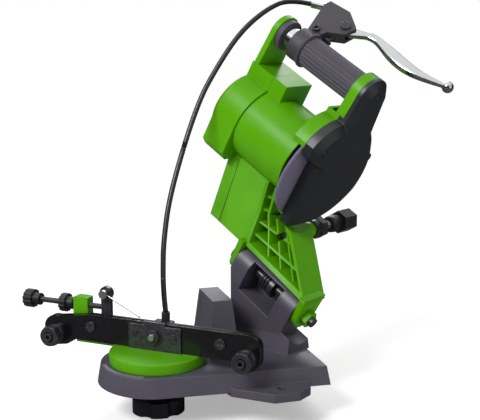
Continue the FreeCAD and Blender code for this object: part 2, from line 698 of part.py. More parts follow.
def guard_back():
    """Return the guard's rear half: back plate, rim and near handle post."""
    x0 = GUARD_BACK_D
    rim = guard_solid(0, x0, COVER_BACK_D - 0.2)
    hollow = guard_solid(GUARD_WALL, x0 + GUARD_BACK_T, COVER_BACK_D + 1)
    sweep = motor_barrel(WHEEL_R + 1.5, x0 + GUARD_BACK_T, COVER_BACK_D + 1)
    body = rim.cut([hollow, sweep])
    front = block(x0 - 1, COVER_BACK_D + 1, SPINDLE_Y - 90, SPINDLE_Y - 24, SPINDLE_Z - 80, SPINDLE_Z + 31)
    bottom = block(x0 - 1, COVER_BACK_D + 1, SPINDLE_Y - 90, SPINDLE_Y - 10, SPINDLE_Z - 80, SPINDLE_Z - 40)
    upper = block(x0 - 1, -2, SPINDLE_Y - 40, SPINDLE_Y + 60, SPINDLE_Z + 65, SPINDLE_Z + 130)
    body = body.cut([front, bottom, upper])
    lobe = guard_solid(0, -2, COVER_LOBE_D - 0.2).common(
        block(-3, COVER_LOBE_D + 1, SPINDLE_Y - 60, SPINDLE_Y + 60, SPINDLE_Z + 65.1, SPINDLE_Z + 130))
    body = join([body, lobe])
    return body.cut(motor_barrel(12.0 + RUN_CLEAR, x0 - 2, x0 + 8))


def guard_cover():
    """Return the black guard cover, a bevelled shell over the wheel's near face."""
    d0, d1, d2 = COVER_BACK_D, COVER_RIM_D, COVER_FACE_D
    base = guard_solid(0, d0, d1)
    bevel = Part.makeLoft([guard_outline(0, d1), guard_outline(COVER_BEVEL, d2)], True, True)
    outer = join([base, bevel])
    w = COVER_WALL
    core = guard_solid(w, d0 - 1, d1)
    core_bevel = Part.makeLoft([guard_outline(w, d1), guard_outline(w + COVER_BEVEL, d2 - w)], True, True)
    notch = block(d0 - 1, COVER_LOBE_D, SPINDLE_Y - 60, SPINDLE_Y + 60, SPINDLE_Z + 65, SPINDLE_Z + 130)
    lobe_fill = block(d0 - 1, d2 + 1, SPINDLE_Y - 60, SPINDLE_Y + 60, SPINDLE_Z + 65, SPINDLE_Z + 130)
    core_all = join([core, core_bevel]).cut(lobe_fill)
    tab = rod(V(d0, SPINDLE_Y + 61, SPINDLE_Z + 14), V(1, 0, 0), 5.0, 9.0)
    hole = rod(V(d0 - 1, SPINDLE_Y + 61.5, SPINDLE_Z + 14), V(1, 0, 0), 1.6, 12.0)
    wells = [rod(V(d2 - COVER_RECESS, SPINDLE_Y + yy, SPINDLE_Z + zz), V(1, 0, 0), COVER_SCREW_R + 0.8, 3)
             for yy, zz in COVER_SCREWS]
    return join([outer.cut([core_all, notch]), tab.cut(core_all)]).cut([hole] + wells)


def section(z, points):
    """Return a closed polygon across the arm at height z, from (d, y) corners."""
    corners = [V(d, y, z) for d, y in points]
    return Part.makePolygon(corners + [corners[0]])


def wedge(front, near, rear, far, low, high):
    """Return the arm's ribbed wedge, its sides moved inward by the given walls."""
    sections = []
    for z, pts in ((56.0, ((-8, 101), (82, 95), (82, 127), (-8, 134))),
                   (86.0, ((-20, 113), (14, 129), (14, 162), (-20, 150))),
                   (112.0, ((-33, 124), (-13, 138), (-13, 172), (-33, 165)))):
        (d0, y0), (d1, y1), (d2, y2), (d3, y3) = pts
        sections.append(section(z, ((d0 + far, y0 + front), (d1 - near, y1 + front),
                                    (d2 - near, y2 - rear), (d3 + far, y3 - rear))))
    solid = Part.makeLoft(sections, True, True)
    return solid.common(block(-60, 100, 40, 220, low, high))


def arm():
    """Return the arm: a box and a ribbed wedge between the hinge and the motor."""
    top_z = 112.0
    low_z = 56.0

    def dz(points, y0, y1):
        return plate([V(d, y0, z) for d, z in points], V(0, y1 - y0, 0))

    def yz(points, d0, d1):
        return plate([V(d0, y, z) for y, z in points], V(d1 - d0, 0, 0))

    # box behind the front panel, open towards the motor
    box = dz([(-62, 54), (-6, 54), (-37, 130), (-94, 130)], 80, 190)
    box = box.common(yz([(101, 50), (133, 132), (172, 132), (136, 50)], -110, 10))
    core = dz([(-58, 58), (-10, 58), (-42, 134), (-90, 134)], 80, 190)
    core = core.common(yz([(108, 58), (138, 136), (169, 136), (134, 58)], -110, 10))
    # the box's low corner passes the tower when the head is down
    swing = rod(V(TOWER_D0 - FREE_CLEAR, HINGE_Y, HINGE_Z), V(1, 0, 0), ARM_SWEEP_R, TOWER_D1 - TOWER_D0)
    box = box.cut([core, swing])
    # wedge, hollow from the front, with a grid of ribs
    shell = wedge(0, 0, 0, 0, low_z, top_z)
    pocket = wedge(-14, 4, 4, 3, low_z + 4, top_z + 1)
    ribs = []
    for k in range(1, 4):
        d = 82 - 20.0 * k
        e = 14 - 8.5 * k
        ribs.append(dz([(d - 1, low_z), (d + 1, low_z), (e + 1, 86), (e + 1 - 14, top_z),
                        (e - 1 - 14, top_z), (e - 1, 86)], 80, 200))
    for k in range(4):
        z = low_z + 11.0 + 11.0 * k
        ribs.append(block(-50, 90, 80, 200, z - 0.9, z + 0.9))
    grid = wedge(5, 1, 1, 1, low_z, top_z)
    shell = join([shell.cut(pocket)] + [r.common(grid) for r in ribs])
    near_ear = ear(TOWER_D1 + 0.5, 6.5)
    far_ear = ear(TOWER_D0 - 6.5, 6.0)
    leg = join([box, shell, near_ear, far_ear])
    bore = rod(V(-40, HINGE_Y, HINGE_Z), V(1, 0, 0), PIN_R, 150)
    clear = motor_barrel(MOTOR_R + 0.15, -130, 60)
    cap_clear = motor_barrel(CAP_R + 0.15, -130, SEAM_D + 0.2)
    foot_clear = cover_foot(-0.15, -130, SEAM_D + 0.1)
    wheel_zone = motor_barrel(GUARD_R + 1.5, GUARD_BACK_D - 0.2, 60)
    boss = rod(V(DEPTH_D, 138, DEPTH_Z), V(0, 1, 0), 8.0, 30)
    leg = leg.cut([bore, clear, cap_clear, foot_clear, wheel_zone])
    leg = join([leg, boss.cut(wheel_zone)])
    return leg.cut(rod(V(DEPTH_D, 90, DEPTH_Z), V(0, 1, 0), DEPTH_R + RUN_CLEAR, 120))


def ear(x0, thickness):
    """Return one hinge ear with its arm up to the leg."""
    r = 14.0
    y, z = HINGE_Y, HINGE_Z
    wire = arc_wire([
        ("line", V(x0, y - r, z + 4)),
        ("line", V(x0, y - r - 1, z + 23)),
        ("line", V(x0, y + r + 2, z + 23)),
        ("line", V(x0, y + r, z)),
        ("arc", V(x0, y, z - r), V(x0, y - r, z))])
    return Part.Face(wire).extrude(V(thickness, 0, 0))


def handle_nodes():
    """Return the handle, its collars and the brake lever set, in the head frame."""
    n = {}
    axis = V(0, SPINDLE_Y + HANDLE_Y, SPINDLE_Z + HANDLE_Z)
    x = V(1, 0, 0)
    n["handle_tube"] = tube(axis + V(POST_FAR_D, 0, 0), x, TUBE_R, TUBE_R - 1.6, -POST_FAR_D - 2.2)
    n["handle_collar"] = tube(axis + V(POST_FAR_D, 0, 0), x, 15.5, TUBE_R, 6.0)
    grip = tube(axis + V(GRIP_D0, 0, 0), x, GRIP_R, TUBE_R, -GRIP_D0 - 2.2)
    grooves = []
    for k in range(GRIP_RIBS):
        a = 2 * math.pi * k / GRIP_RIBS
        p = axis + V(GRIP_D0 + 3, math.cos(a) * (GRIP_R + 0.4), math.sin(a) * (GRIP_R + 0.4))
        grooves.append(rod(p, x, 1.25, -GRIP_D0 - 8))
    n["grip"] = grip.cut(grooves)
    ring = tube(V(-86, 0, -LEVER_LIFT), x, 16.5, TUBE_R, 13)
    bracket = plate([V(-84, 8, 0), V(-101, 48, 0), V(-100, 56, 0), V(-76, 59, 0), V(-55, 47, 0), V(-56, 33, 0),
                     V(-70, 22, 0), V(-73, 8, 0)], V(0, 0, 12))
    bracket = bracket.translated(V(0, 0, -6))
    slot = block(-80, -40, 33, 70, -3.4, 3.4)
    body = join([ring, bracket]).cut([slot, rod(V(-200, 0, -LEVER_LIFT), x, TUBE_R, 300),
                                      rod(V(LEVER_PIVOT_D, LEVER_PIVOT_E, -20), V(0, 0, 1), 3.0, 40)])
    adj_dir = V(-math.cos(math.radians(28)), -math.sin(math.radians(28)), 0)
    adj_at = V(-99.5, 51.5, 0)
    clear = rod(V(GRIP_D0 - 0.2, 0, -LEVER_LIFT), V(1, 0, 0), GRIP_R + 0.2, 60)
    body = body.cut([rod(adj_at - adj_dir * 26, adj_dir, 1.6, 40), clear])
    n["cable_adjuster"] = join([rod(adj_at + adj_dir * 1.4, adj_dir, 4.6, 4.0),
                                rod(adj_at + adj_dir * 5.4, adj_dir, 3.6, 11.0)]).cut(
        rod(adj_at - adj_dir * 2, adj_dir, 1.4, 14))
    n["clamp_bolt"] = rod(V(-79.5, 16.8, 1.0), V(0, 0, 1), 3.6, 8.0).cut(
        hexagon(V(-79.5, 16.8, 6.0), V(0, 0, 1), 4.0, 4.0))
    n["lever_pivot_screw"] = join([rod(V(LEVER_PIVOT_D, LEVER_PIVOT_E, -6.0), V(0, 0, 1), 3.0, 12.0),
                                   rod(V(LEVER_PIVOT_D, LEVER_PIVOT_E, 6.0), V(0, 0, 1), 5.0, 2.0),
                                   rod(V(LEVER_PIVOT_D, LEVER_PIVOT_E, -8.0), V(0, 0, 1), 5.0, 2.0)])
    n["reach_screw"] = join([rod(V(-66, 27.0, -2), V(0, -1, 0), 2.2, 7.0),
                             rod(V(-66, 20.0, -2), V(0, -1, 0), 4.2, 2.5)])
    n["lever_bracket"] = body.cut([n["cable_adjuster"], n["clamp_bolt"], n["reach_screw"]])
    n["brake_lever"] = lever()
    lifted = FreeCAD.Placement(V(0, 0, LEVER_LIFT), FreeCAD.Rotation())
    out = {}
    for name, s in n.items():
        if name in ("lever_bracket", "cable_adjuster", "clamp_bolt", "lever_pivot_screw", "reach_screw",
                    "brake_lever"):
            s = put(s, lifted, LEVER)
        out[name] = s
    return out


def lever():
    """Return the brake lever: a tapering blade with a ball end."""
    top = [V(-72, 46, 0), V(-62, 51, 0), V(-44, 58.5, 0), V(-20, 58, 0), V(6, 54, 0), V(30, 55, 0), V(48, 58.5, 0)]
    low = [V(50, 55.5, 0), V(30, 48.5, 0), V(12, 43, 0), V(-10, 43, 0), V(-28, 48.5, 0), V(-44, 49, 0),
           V(-56, 41, 0), V(-60, 35, 0), V(-70, 36, 0)]
    a = Part.BSplineCurve()
    a.interpolate(top)
    b = Part.BSplineCurve()
    b.interpolate(low)
    wire = Part.Wire([a.toShape(), Part.LineSegment(top[-1], low[0]).toShape(), b.toShape(),
                      Part.LineSegment(low[-1], top[0]).toShape()])
    blade = Part.Face(wire).extrude(V(0, 0, 6.0)).translated(V(0, 0, -3.0))
    ball = Part.makeSphere(6.0, V(52, 59, 0))
    return join([blade, ball]).cut(rod(V(LEVER_PIVOT_D, LEVER_PIVOT_E, -20), V(0, 0, 1), 3.0 + RUN_CLEAR, 40))


def spindle_nodes():
    """Return what spins: shaft, armature, flanges and the grinding wheel."""
    n = {}
    c = V(0, SPINDLE_Y, SPINDLE_Z)
    x = V(1, 0, 0)
    n["motor_shaft"] = rod(c + V(-107, 0, 0), x, SHAFT_R, 107 + 9.0)
    n["armature"] = group([tube(c + V(-68, 0, 0), x, 20.0, SHAFT_R, 38),
                           tube(c + V(-92, 0, 0), x, 10.0, SHAFT_R, 12)])
    blades = [tube(c + V(-27, 0, 0), x, 10.0, SHAFT_R, 8)]
    for k in range(9):
        fin = block(-27, -19.5, SPINDLE_Y + 8, SPINDLE_Y + 31, SPINDLE_Z - 0.8, SPINDLE_Z + 0.8)
        fin.rotate(c, x, 40 * k)
        blades.append(fin)
    n["cooling_fan"] = join(blades)
    n["inner_flange"] = tube(c + V(-6.5, 0, 0), x, FLANGE_R, SHAFT_R, 6.5 - WHEEL_T / 2).cut(
        tube(c + V(-6.6, 0, 0), x, FLANGE_R + 1, 9.0, 2.6))
    n["outer_flange"] = tube(c + V(WHEEL_T / 2, 0, 0), x, FLANGE_R, SHAFT_R, 3.0)
    sleeve = tube(c + V(-WHEEL_T / 2, 0, 0), x, WHEEL_BORE_R, SHAFT_R, WHEEL_T)
    n["outer_flange"] = join([n["outer_flange"], sleeve])
    n["wheel_nut"] = hexagon(c + V(WHEEL_T / 2 + 3.0, 0, 0), x, 13.0, 6.0).cut(
        rod(c, x, SHAFT_R, 30))
    wheel = tube(c + V(-WHEEL_T / 2, 0, 0), x, WHEEL_R, WHEEL_BORE_R, WHEEL_T)
    rim = [e for e in wheel.Edges if e.Closed and e.BoundBox.YLength > WHEEL_R]
    n["grinding_wheel"] = wheel.makeChamfer(0.8, rim)
    return n


def motor_nodes():
    """Return what stands still inside the housing."""
    n = {}
    c = V(0, SPINDLE_Y, SPINDLE_Z)
    x = V(1, 0, 0)
    n["stator"] = tube(c + V(-72, 0, 0), x, MOTOR_R - MOTOR_WALL - 0.3, 21.0, 44)
    n["front_bearing"] = tube(c + V(-15.8, 0, 0), x, 12.0, SHAFT_R + RUN_CLEAR, 8)
    n["rear_bearing"] = tube(c + V(-104, 0, 0), x, 11.0, SHAFT_R + RUN_CLEAR, 7)
    carrier = tube(c + V(-105, 0, 0), x, CAP_R - 3.5, 11.0, 6)
    n["bearing_carrier"] = carrier
    brushes = []
    for side in (-1, 1):
        brushes.append(block(-90, -84, SPINDLE_Y + side * 10.3 - (12 if side < 0 else 0),
                             SPINDLE_Y + side * 10.3 + (12 if side > 0 else 0), SPINDLE_Z - 4, SPINDLE_Z + 4))
    n["brush_holders"] = group(brushes)
    return n


def fittings():
    """Return the switch, mains inlet and cover screws, in the head frame."""
    n = {}
    x = V(1, 0, 0)
    far = CAP_FAR_D
    y, z = SPINDLE_Y + SWITCH_Y, SPINDLE_Z + SWITCH_Z
    bezel = block(far - 2.0, far, y - 8, y + 8, z - 12, z + 12)
    n["switch_bezel"] = bezel.cut(block(far - 3, far + 1, y - 5.5, y + 5.5, z - 9.7, z + 9.7))
    rocker = block(far - 4.5, far + 2.0, y - 5.1, y + 5.1, z - 9.0, z + 9.0)
    rocker = rocker.makeChamfer(1.2, [e for e in rocker.Edges if e.BoundBox.XMax < far - 4.4])
    rocker.rotate(V(far, y, z), V(0, 1, 0), -ROCKER_REST_DEG)
    n["switch_rocker"] = join([rocker, rod(V(far, y - 5.4, z), V(0, 1, 0), 1.8, 10.8)])
    g = V(far, SPINDLE_Y, SPINDLE_Z + GLAND_Z)
    n["mains_gland"] = join([rod(g, V(-1, 0, 0), 7.5, 3.0), rod(g, V(-1, 0, 0), 5.5, 9.0)]).cut(
        rod(g + V(1, 0, 0), V(-1, 0, 0), GLAND_BORE_R, 12))
    screws = []
    for yy, zz in COVER_SCREWS:
        at = V(COVER_FACE_D - COVER_RECESS, SPINDLE_Y + yy, SPINDLE_Z + zz)
        screws.append(rod(at, x, COVER_SCREW_R, COVER_RECESS - 0.2))
    n["cover_screws"] = group(screws)
    c = V(DEPTH_D, 0, DEPTH_Z)
    yv = V(0, 1, 0)
    n["depth_screw"] = join([rod(c + V(0, DEPTH_TIP_Y, 0), yv, DEPTH_R, 108),
                             hexagon(c + V(0, 216, 0), yv, 21.0, 20.0)])
    washer = tube(c + V(0, 168.2, 0), yv, 9.5, DEPTH_R + RUN_CLEAR, 8.0)
    nut = hexagon(c + V(0, 176.2, 0), yv, 20.0, 9.0).cut(rod(c, yv, DEPTH_R + RUN_CLEAR, 300))
    n["depth_nuts"] = group([washer, nut])
    return n


def hinge_nodes():
    """Return the hinge pin with its nut, and the collar that the spring bears on."""
    n = {}
    c = V(0, HINGE_Y, HINGE_Z)
    x = V(1, 0, 0)
    far = TOWER_D0 - 6.5
    near = TOWER_D1 + 7.0
    n["hinge_pin"] = join([rod(c + V(far - 3, 0, 0), x, PIN_R, near - far + 14),
                           rod(c + V(far - 5, 0, 0), x, 8.0, 5.0)])
    n["hinge_nut"] = hexagon(c + V(near, 0, 0), x, 15.0, 7.0).cut(rod(c, x, PIN_R, 130))
    n["spring_collar"] = tube(c + V(SPRING_START_D + SPRING_PITCH * SPRING_TURNS + 1.6, 0, 0), x, 10.5, PIN_R, 6.0)
    return n


def cable(points, name):
    """Return a cable along straight runs joined by tangent arcs."""
    edges = []
    here = points[0]
    radii = []
    for k in range(1, len(points) - 1):
        p, a, b = points[k], points[k - 1], points[k + 1]
        u, w = (p - a), (b - p)
        lu, lw = u.Length, w.Length
        u.normalize()
        w.normalize()
        turn = u.getAngle(w)
        radius = 0.45 * min(lu, lw) / math.tan(turn / 2)
        radii.append(round(radius))
        reach = radius * math.tan(turn / 2)
        s, e = p - u * reach, p + w * reach
        bis = (w - u).normalize()
        centre = p + bis * (radius / math.cos(turn / 2))
        mid = centre - bis * radius
        edges.append(Part.LineSegment(here, s).toShape())
        edges.append(Part.Arc(s, mid, e).toShape())
        here = e
    edges.append(Part.LineSegment(here, points[-1]).toShape())
    path = Part.Wire(edges)
    way = (points[1] - points[0]).normalize()
    profile = Part.Wire([Part.makeCircle(CABLE_R, points[0], way)])
    solid = path.makePipeShell([profile], True, False)
    area = math.pi * CABLE_R ** 2
    print(name, "radii", radii, "length", round(path.Length, 1),
          "volume ratio", round(solid.Volume / (area * path.Length), 4))
    return solid


# Points of the lever cable from the vise up to the lever, chosen by hand, from the row's origin
CABLE_LOWER = [V(-9.2, -86.7, 63.8), V(-14, -88, 84), V(-27, -84, 126), V(-41.5, -73.5, 171.5),
               V(-53, -57, 212)]
CABLE_UPPER = [V(-53.2, -56.7, 212.7), V(-64.5, -40.5, 252.5), V(-72, -18, 288), V(-77, 7, 321),
               V(-78.5, 34, 343), V(-77, 58, 353.5), V(-72.5, 79.6, 348.5)]


def main():
    """Build every piece and write it to its own file."""
    os.makedirs("parts", exist_ok=True)
    nodes = {"base_casting": base_casting(), "torsion_spring": spring()}
    nodes.update(vise_nodes())
    head = {"motor_housing": motor_housing(), "end_cover": end_cover(), "guard_back": guard_back(),
            "guard_cover": guard_cover(), "arm": arm()}
    head.update(handle_nodes())
    head.update(spindle_nodes())
    head.update(motor_nodes())
    head.update(fittings())
    head.update(hinge_nodes())
    for name, shape in head.items():
        nodes[name] = put(shape, HEAD)
    nodes = {name: shape.translated(V(0, -FOOT_HOLE_Y, 0)) for name, shape in nodes.items()}
    nodes["cable_lower"] = cable(CABLE_LOWER, "cable_lower")
    nodes["cable_upper"] = cable(CABLE_UPPER, "cable_upper")
    for name, shape in nodes.items():
        bad = "" if shape.isValid() else " INVALID"
        print(name, len(shape.Solids), round(shape.Volume), bad)
        shape.exportStep("parts/" + name + ".step")


main()
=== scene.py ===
"""Looks of a bench-mounted electric chainsaw sharpener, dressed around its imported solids."""
import logging
import math
from dataclasses import dataclass
from enum import Enum
from typing import Any, Sequence

import bmesh
import bpy
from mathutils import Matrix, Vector


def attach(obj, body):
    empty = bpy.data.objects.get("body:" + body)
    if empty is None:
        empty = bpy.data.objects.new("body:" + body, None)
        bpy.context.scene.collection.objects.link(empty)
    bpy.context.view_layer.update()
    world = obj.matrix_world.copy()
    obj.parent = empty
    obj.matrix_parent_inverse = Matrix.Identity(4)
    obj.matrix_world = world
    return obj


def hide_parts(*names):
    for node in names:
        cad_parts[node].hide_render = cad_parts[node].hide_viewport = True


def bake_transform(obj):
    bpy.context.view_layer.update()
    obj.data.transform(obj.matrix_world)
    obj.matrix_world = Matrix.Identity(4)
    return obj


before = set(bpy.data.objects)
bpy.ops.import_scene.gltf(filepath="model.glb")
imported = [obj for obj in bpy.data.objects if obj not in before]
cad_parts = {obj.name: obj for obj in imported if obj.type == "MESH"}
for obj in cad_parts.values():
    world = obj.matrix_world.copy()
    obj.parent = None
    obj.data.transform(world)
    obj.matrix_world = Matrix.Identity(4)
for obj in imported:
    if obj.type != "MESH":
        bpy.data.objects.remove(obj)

LOG = logging.getLogger("sharpener")
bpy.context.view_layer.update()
NODES: dict[str, bpy.types.Object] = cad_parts
MM = 0.001

# The head's own axes, as the CAD has them: along the spindle, to the rear, up the tilted arm
TURN = math.radians(32.0)
TILT = math.radians(30.0)
AXLE = Vector((math.cos(TURN) * math.cos(TILT), math.sin(TURN) * math.cos(TILT), -math.sin(TILT)))
REAR = Vector((-math.sin(TURN), math.cos(TURN), 0.0))
RISE = Vector((math.cos(TURN) * math.sin(TILT), math.sin(TURN) * math.sin(TILT), math.cos(TILT)))
# The row's origin lies between the two foot holes, behind the turntable's axis
TURNTABLE_Y = -97.0
TOOTH = Vector((0.0, TURNTABLE_Y, 64.0))
VISE_TURN = math.radians(50.0)
SPINDLE = (145.5, 147.5)
# The handle's axis from the spindle: back and up
HANDLE = (8.0, 88.0)
# The brake lever's plane is rolled about the handle and lies a little over its axis
LEVER_ROLL = math.radians(30.0)
LEVER_LIFT = 6.0
# The middle range of a noise pattern, which is spread over a material's whole drift
NOISE_SPREAD = {"From Min": 0.3, "From Max": 0.7}
BEVEL_SAMPLES = 4
# How nearly the rounded and the flat normal agree where a surface is flat, and on a sharp edge that gets the
# full painted highlight
EDGE_FLAT = 0.995
EDGE_SHARP = 0.85
WHITE = (1.0, 1.0, 1.0, 1.0)
# One ridge of a thread: place along the pitch and height, both in pitches
THREAD_SECTION = ((-0.42, -0.12), (-0.06, 0.22), (0.06, 0.22), (0.42, -0.12))
THREAD_STEPS = 20
THREAD_SINK_MM = 0.05
# Corners 0 to 3 go round the bottom, 4 to 7 round the top
BOX_FACES = [[0, 1, 2, 3], [4, 5, 6, 7], [0, 1, 5, 4], [1, 2, 6, 5], [2, 3, 7, 6], [3, 0, 4, 7]]


class Relief(Enum):
    """What the fine surface of a material is made of."""

    SPARK_GRAIN = "fine grain left by a spark-eroded mould"
    ORANGE_PEEL = "low waves of sprayed or baked paint"
    BRUSHED = "lines left by a belt or a brush"
    TURNED = "rings left by a lathe tool"
    GRIT = "grains of bonded abrasive"
    POLISHED = "faint cloudiness left by a buffing wheel"


def linear(hex_colour: str) -> tuple[float, float, float, float]:
    """Turn an sRGB hex colour into linear values.

    Args:
        hex_colour: six hex digits, with or without a leading #.

    Returns:
        Red, green, blue and an alpha of 1.
    """
    digits = hex_colour.lstrip("#")
    values = [int(digits[i:i + 2], 16) / 255.0 for i in (0, 2, 4)]
    red, green, blue = (v / 12.92 if v <= 0.04045 else ((v + 0.055) / 1.055) ** 2.4 for v in values)
    return (red, green, blue, 1.0)


def add_node(tree: bpy.types.NodeTree, kind: str, inputs: dict[Any, Any] | None = None,
             **settings: Any) -> bpy.types.Node:
    """Add one shader node with its settings, values and links.

    Args:
        tree: the material's or world's node tree.
        kind: the node's type name, without the ShaderNode prefix.
        inputs: input name or number to a value, or to an output socket that is linked.
        settings: attributes of the node, such as operation.

    Returns:
        The new node.
    """
    node = tree.nodes.new("ShaderNode" + kind)
    for name, value in settings.items():
        setattr(node, name, value)
    for key, value in (inputs or {}).items():
        if isinstance(value, bpy.types.NodeSocket):
            tree.links.new(value, node.inputs[key])
        else:
            node.inputs[key].default_value = value
    return node


@dataclass(frozen=True)
class Finish:
    """A real material and how its surface was made.

    Sizes are millimetres: grain_mm is the width of one grain, line or ring, and
    depth_mm is how deep it is. Shade is how far the colour drifts over the surface,
    and mottle_mm is the size of the patches in which it drifts.
    """

    name: str
    slot: str
    colour: str
    roughness: float
    relief: Relief
    grain_mm: float
    depth_mm: float
    metallic: float = 0.0
    ior: float = 1.5
    coat: float = 0.0
    coat_roughness: float = 0.1
    shade: float = 0.08
    rough_drift: float = 0.06
    edge_mm: float = 0.0
    # edge_lift: how much brighter the colour is painted on sharp edges, as a painted highlight
    edge_lift: float = 0.0
    sheen: float = 0.0
    mottle_mm: float = 36.0

    def grain(self, tree: bpy.types.NodeTree, place: bpy.types.NodeSocket) -> bpy.types.NodeSocket:
        """Add the nodes of the fine relief.

        Args:
            tree: the material's node tree.
            place: a socket with the surface's position in metres.

        Returns:
            A socket with the relief's height from 0 to 1.
        """
        scale = 1.0 / (self.grain_mm * MM)
        if self.relief is Relief.BRUSHED:
            stretched = add_node(tree, "VectorMath", {0: place, 1: (1.0, 1.0, 0.04)}, operation="MULTIPLY")
            noise = add_node(tree, "TexNoise", {"Vector": stretched.outputs[0], "Scale": scale,
                                                "Detail": 3.0})
            return noise.outputs["Fac"]
        if self.relief is Relief.TURNED:
            noise = add_node(tree, "TexNoise", {"Vector": place, "Scale": scale * 0.4, "Detail": 2.0,
                                                "Roughness": 0.7})
            return noise.outputs["Fac"]
        if self.relief is Relief.GRIT:
            cells = add_node(tree, "TexVoronoi", {"Vector": place, "Scale": scale, "Randomness": 1.0})
            return cells.outputs["Distance"]
        noise = add_node(tree, "TexNoise", {"Vector": place, "Scale": scale, "Detail": 2.0,
                                            "Roughness": 0.55})
        return noise.outputs["Fac"]

    def material(self) -> bpy.types.Material:
        """Build the material with its colour drift, relief and worn edges."""
        made = bpy.data.materials.get(self.name)
        if made:
            return made
        made = bpy.data.materials.new(self.name)
        made.use_nodes = True
        tree = made.node_tree
        tree.nodes.clear()
        place = add_node(tree, "TexCoord").outputs["Object"]
        broad = add_node(tree, "TexNoise", {"Vector": place, "Scale": 1.0 / (self.mottle_mm * MM),
                                            "Detail": 4.0, "Roughness": 0.6})
        drift = add_node(tree, "MapRange", {"Value": broad.outputs["Fac"], **NOISE_SPREAD,
                                            "To Min": 1.0 - self.shade, "To Max": 1.0 + self.shade})
        tinted = add_node(tree, "VectorMath", {0: linear(self.colour)[:3], "Scale": drift.outputs["Result"]},
                          operation="SCALE")
        colour = tinted.outputs["Vector"]
        height = self.grain(tree, place)
        if self.relief is Relief.GRIT:
            speck = add_node(tree, "MapRange", {"Value": height, "From Min": 0.1, "From Max": 0.6,
                                                "To Min": 1.22, "To Max": 0.72})
            specked = add_node(tree, "VectorMath", {0: colour, "Scale": speck.outputs["Result"]},
                               operation="SCALE")
            colour = specked.outputs["Vector"]
        if self.edge_lift:
            # edges are painted brighter where the surface turns sharply: a painted highlight for the light
            # they catch
            edge = add_node(tree, "Bevel", {"Radius": self.edge_mm * MM}, samples=BEVEL_SAMPLES)
            flat = add_node(tree, "NewGeometry")
            turn = add_node(tree, "VectorMath", {0: edge.outputs["Normal"], 1: flat.outputs["Normal"]},
                            operation="DOT_PRODUCT")
            edge_highlight = add_node(tree, "MapRange", {"Value": turn.outputs["Value"], "From Min": EDGE_FLAT,
                                               "From Max": EDGE_SHARP, "To Min": 1.0,
                                               "To Max": 1.0 + self.edge_lift})
            lifted = add_node(tree, "VectorMath", {0: colour, "Scale": edge_highlight.outputs["Result"]},
                              operation="SCALE")
            colour = lifted.outputs["Vector"]
        rough = add_node(tree, "MapRange", {"Value": broad.outputs["Fac"], **NOISE_SPREAD,
                                            "To Min": max(0.02, self.roughness - self.rough_drift),
                                            "To Max": self.roughness + self.rough_drift})
        bump_inputs = {"Height": height, "Distance": self.depth_mm * MM, "Strength": 1.0}
        if self.edge_mm:
            rounded = add_node(tree, "Bevel", {"Radius": self.edge_mm * MM}, samples=BEVEL_SAMPLES)
            bump_inputs["Normal"] = rounded.outputs["Normal"]
        bump = add_node(tree, "Bump", bump_inputs)
        shader = add_node(tree, "BsdfPrincipled", {
            "Base Color": colour, "Metallic": self.metallic, "Roughness": rough.outputs["Result"],
            "IOR": self.ior, "Coat Weight": self.coat, "Coat Roughness": self.coat_roughness,
            "Sheen Weight": self.sheen, "Normal": bump.outputs["Normal"]})
        add_node(tree, "OutputMaterial", {"Surface": shader.outputs["BSDF"]})
        return made


# Glossy ABS from a grained mould: a saturated skin with a broad soft highlight
GREEN_ABS = Finish("green_moulded_abs", "green_plastic", "#57A400", 0.36, Relief.SPARK_GRAIN, 0.9, 0.02,
                   ior=1.3, shade=0.06, edge_mm=0.8, edge_lift=0.12)
# Powder coat on die-cast aluminium: dark violet grey, satin, with a fine orange peel
BASE_POWDER_COAT = Finish("grey_powder_coat", "base_paint", "#4F4C58", 0.42, Relief.ORANGE_PEEL, 1.6, 0.03,
                          shade=0.06, edge_mm=1.2, edge_lift=0.35)
# The same coat, painted pale on the raised strokes of the scale as a painted highlight along their tops
STROKE_HIGHLIGHT_COAT = Finish("stroke_highlight_powder_coat", "base_paint", "#A09EA8", 0.5, Relief.ORANGE_PEEL, 1.0, 0.02,
                     shade=0.1)
# Black ABS of the guard: nearly smooth, it shows a wide dull reflection
BLACK_ABS = Finish("black_moulded_abs", "black_plastic", "#212328", 0.40, Relief.SPARK_GRAIN, 0.8, 0.015,
                   ior=1.53, shade=0.06, edge_mm=1.0, edge_lift=0.3)
# Black nylon of knobs, glass-filled, so it has a duller skin than the guard
BLACK_NYLON = Finish("black_glass_filled_nylon", "black_plastic", "#1C1B20", 0.45, Relief.SPARK_GRAIN,
                     0.7, 0.03, ior=1.53, edge_mm=0.7, edge_lift=0.6)
# Stove enamel on pressed steel: the rails are black and mirror the studio softly, with a painted highlight
# along their edges
BLACK_ENAMEL = Finish("black_stove_enamel", "black_steel", "#0D0B0F", 0.26, Relief.ORANGE_PEEL, 2.2, 0.012,
                      coat=0.4, coat_roughness=0.08, shade=0.05, edge_mm=0.5, edge_lift=1.2)
# Black oxide on machined steel: bolts and nuts are near black and catch light on each corner
BLACK_OXIDE = Finish("black_oxide_steel", "zinc_steel", "#37373B", 0.3, Relief.TURNED, 0.5, 0.01,
                     metallic=0.35, shade=0.15, edge_mm=0.7, edge_lift=2.2)
# Zinc plate on steel: bright, slightly blue and a little cloudy
ZINC = Finish("bright_zinc_plate", "zinc_steel", "#C6C8CC", 0.42, Relief.TURNED, 0.5, 0.01,
              metallic=1.0, edge_mm=0.4, edge_lift=0.15)
# Chrome over polished steel: the tube under the grip
CHROME = Finish("chrome_plate", "chrome", "#D9DADD", 0.07, Relief.POLISHED, 4.0, 0.002,
                metallic=1.0, shade=0.02, rough_drift=0.03)
# Cast aluminium, buffed by hand: long soft reflections with faint polishing clouds
BUFFED_ALUMINIUM = Finish("buffed_cast_aluminium", "polished_alloy", "#C9CACE", 0.16, Relief.POLISHED,
                          2.5, 0.01, metallic=1.0, shade=0.05, rough_drift=0.07)
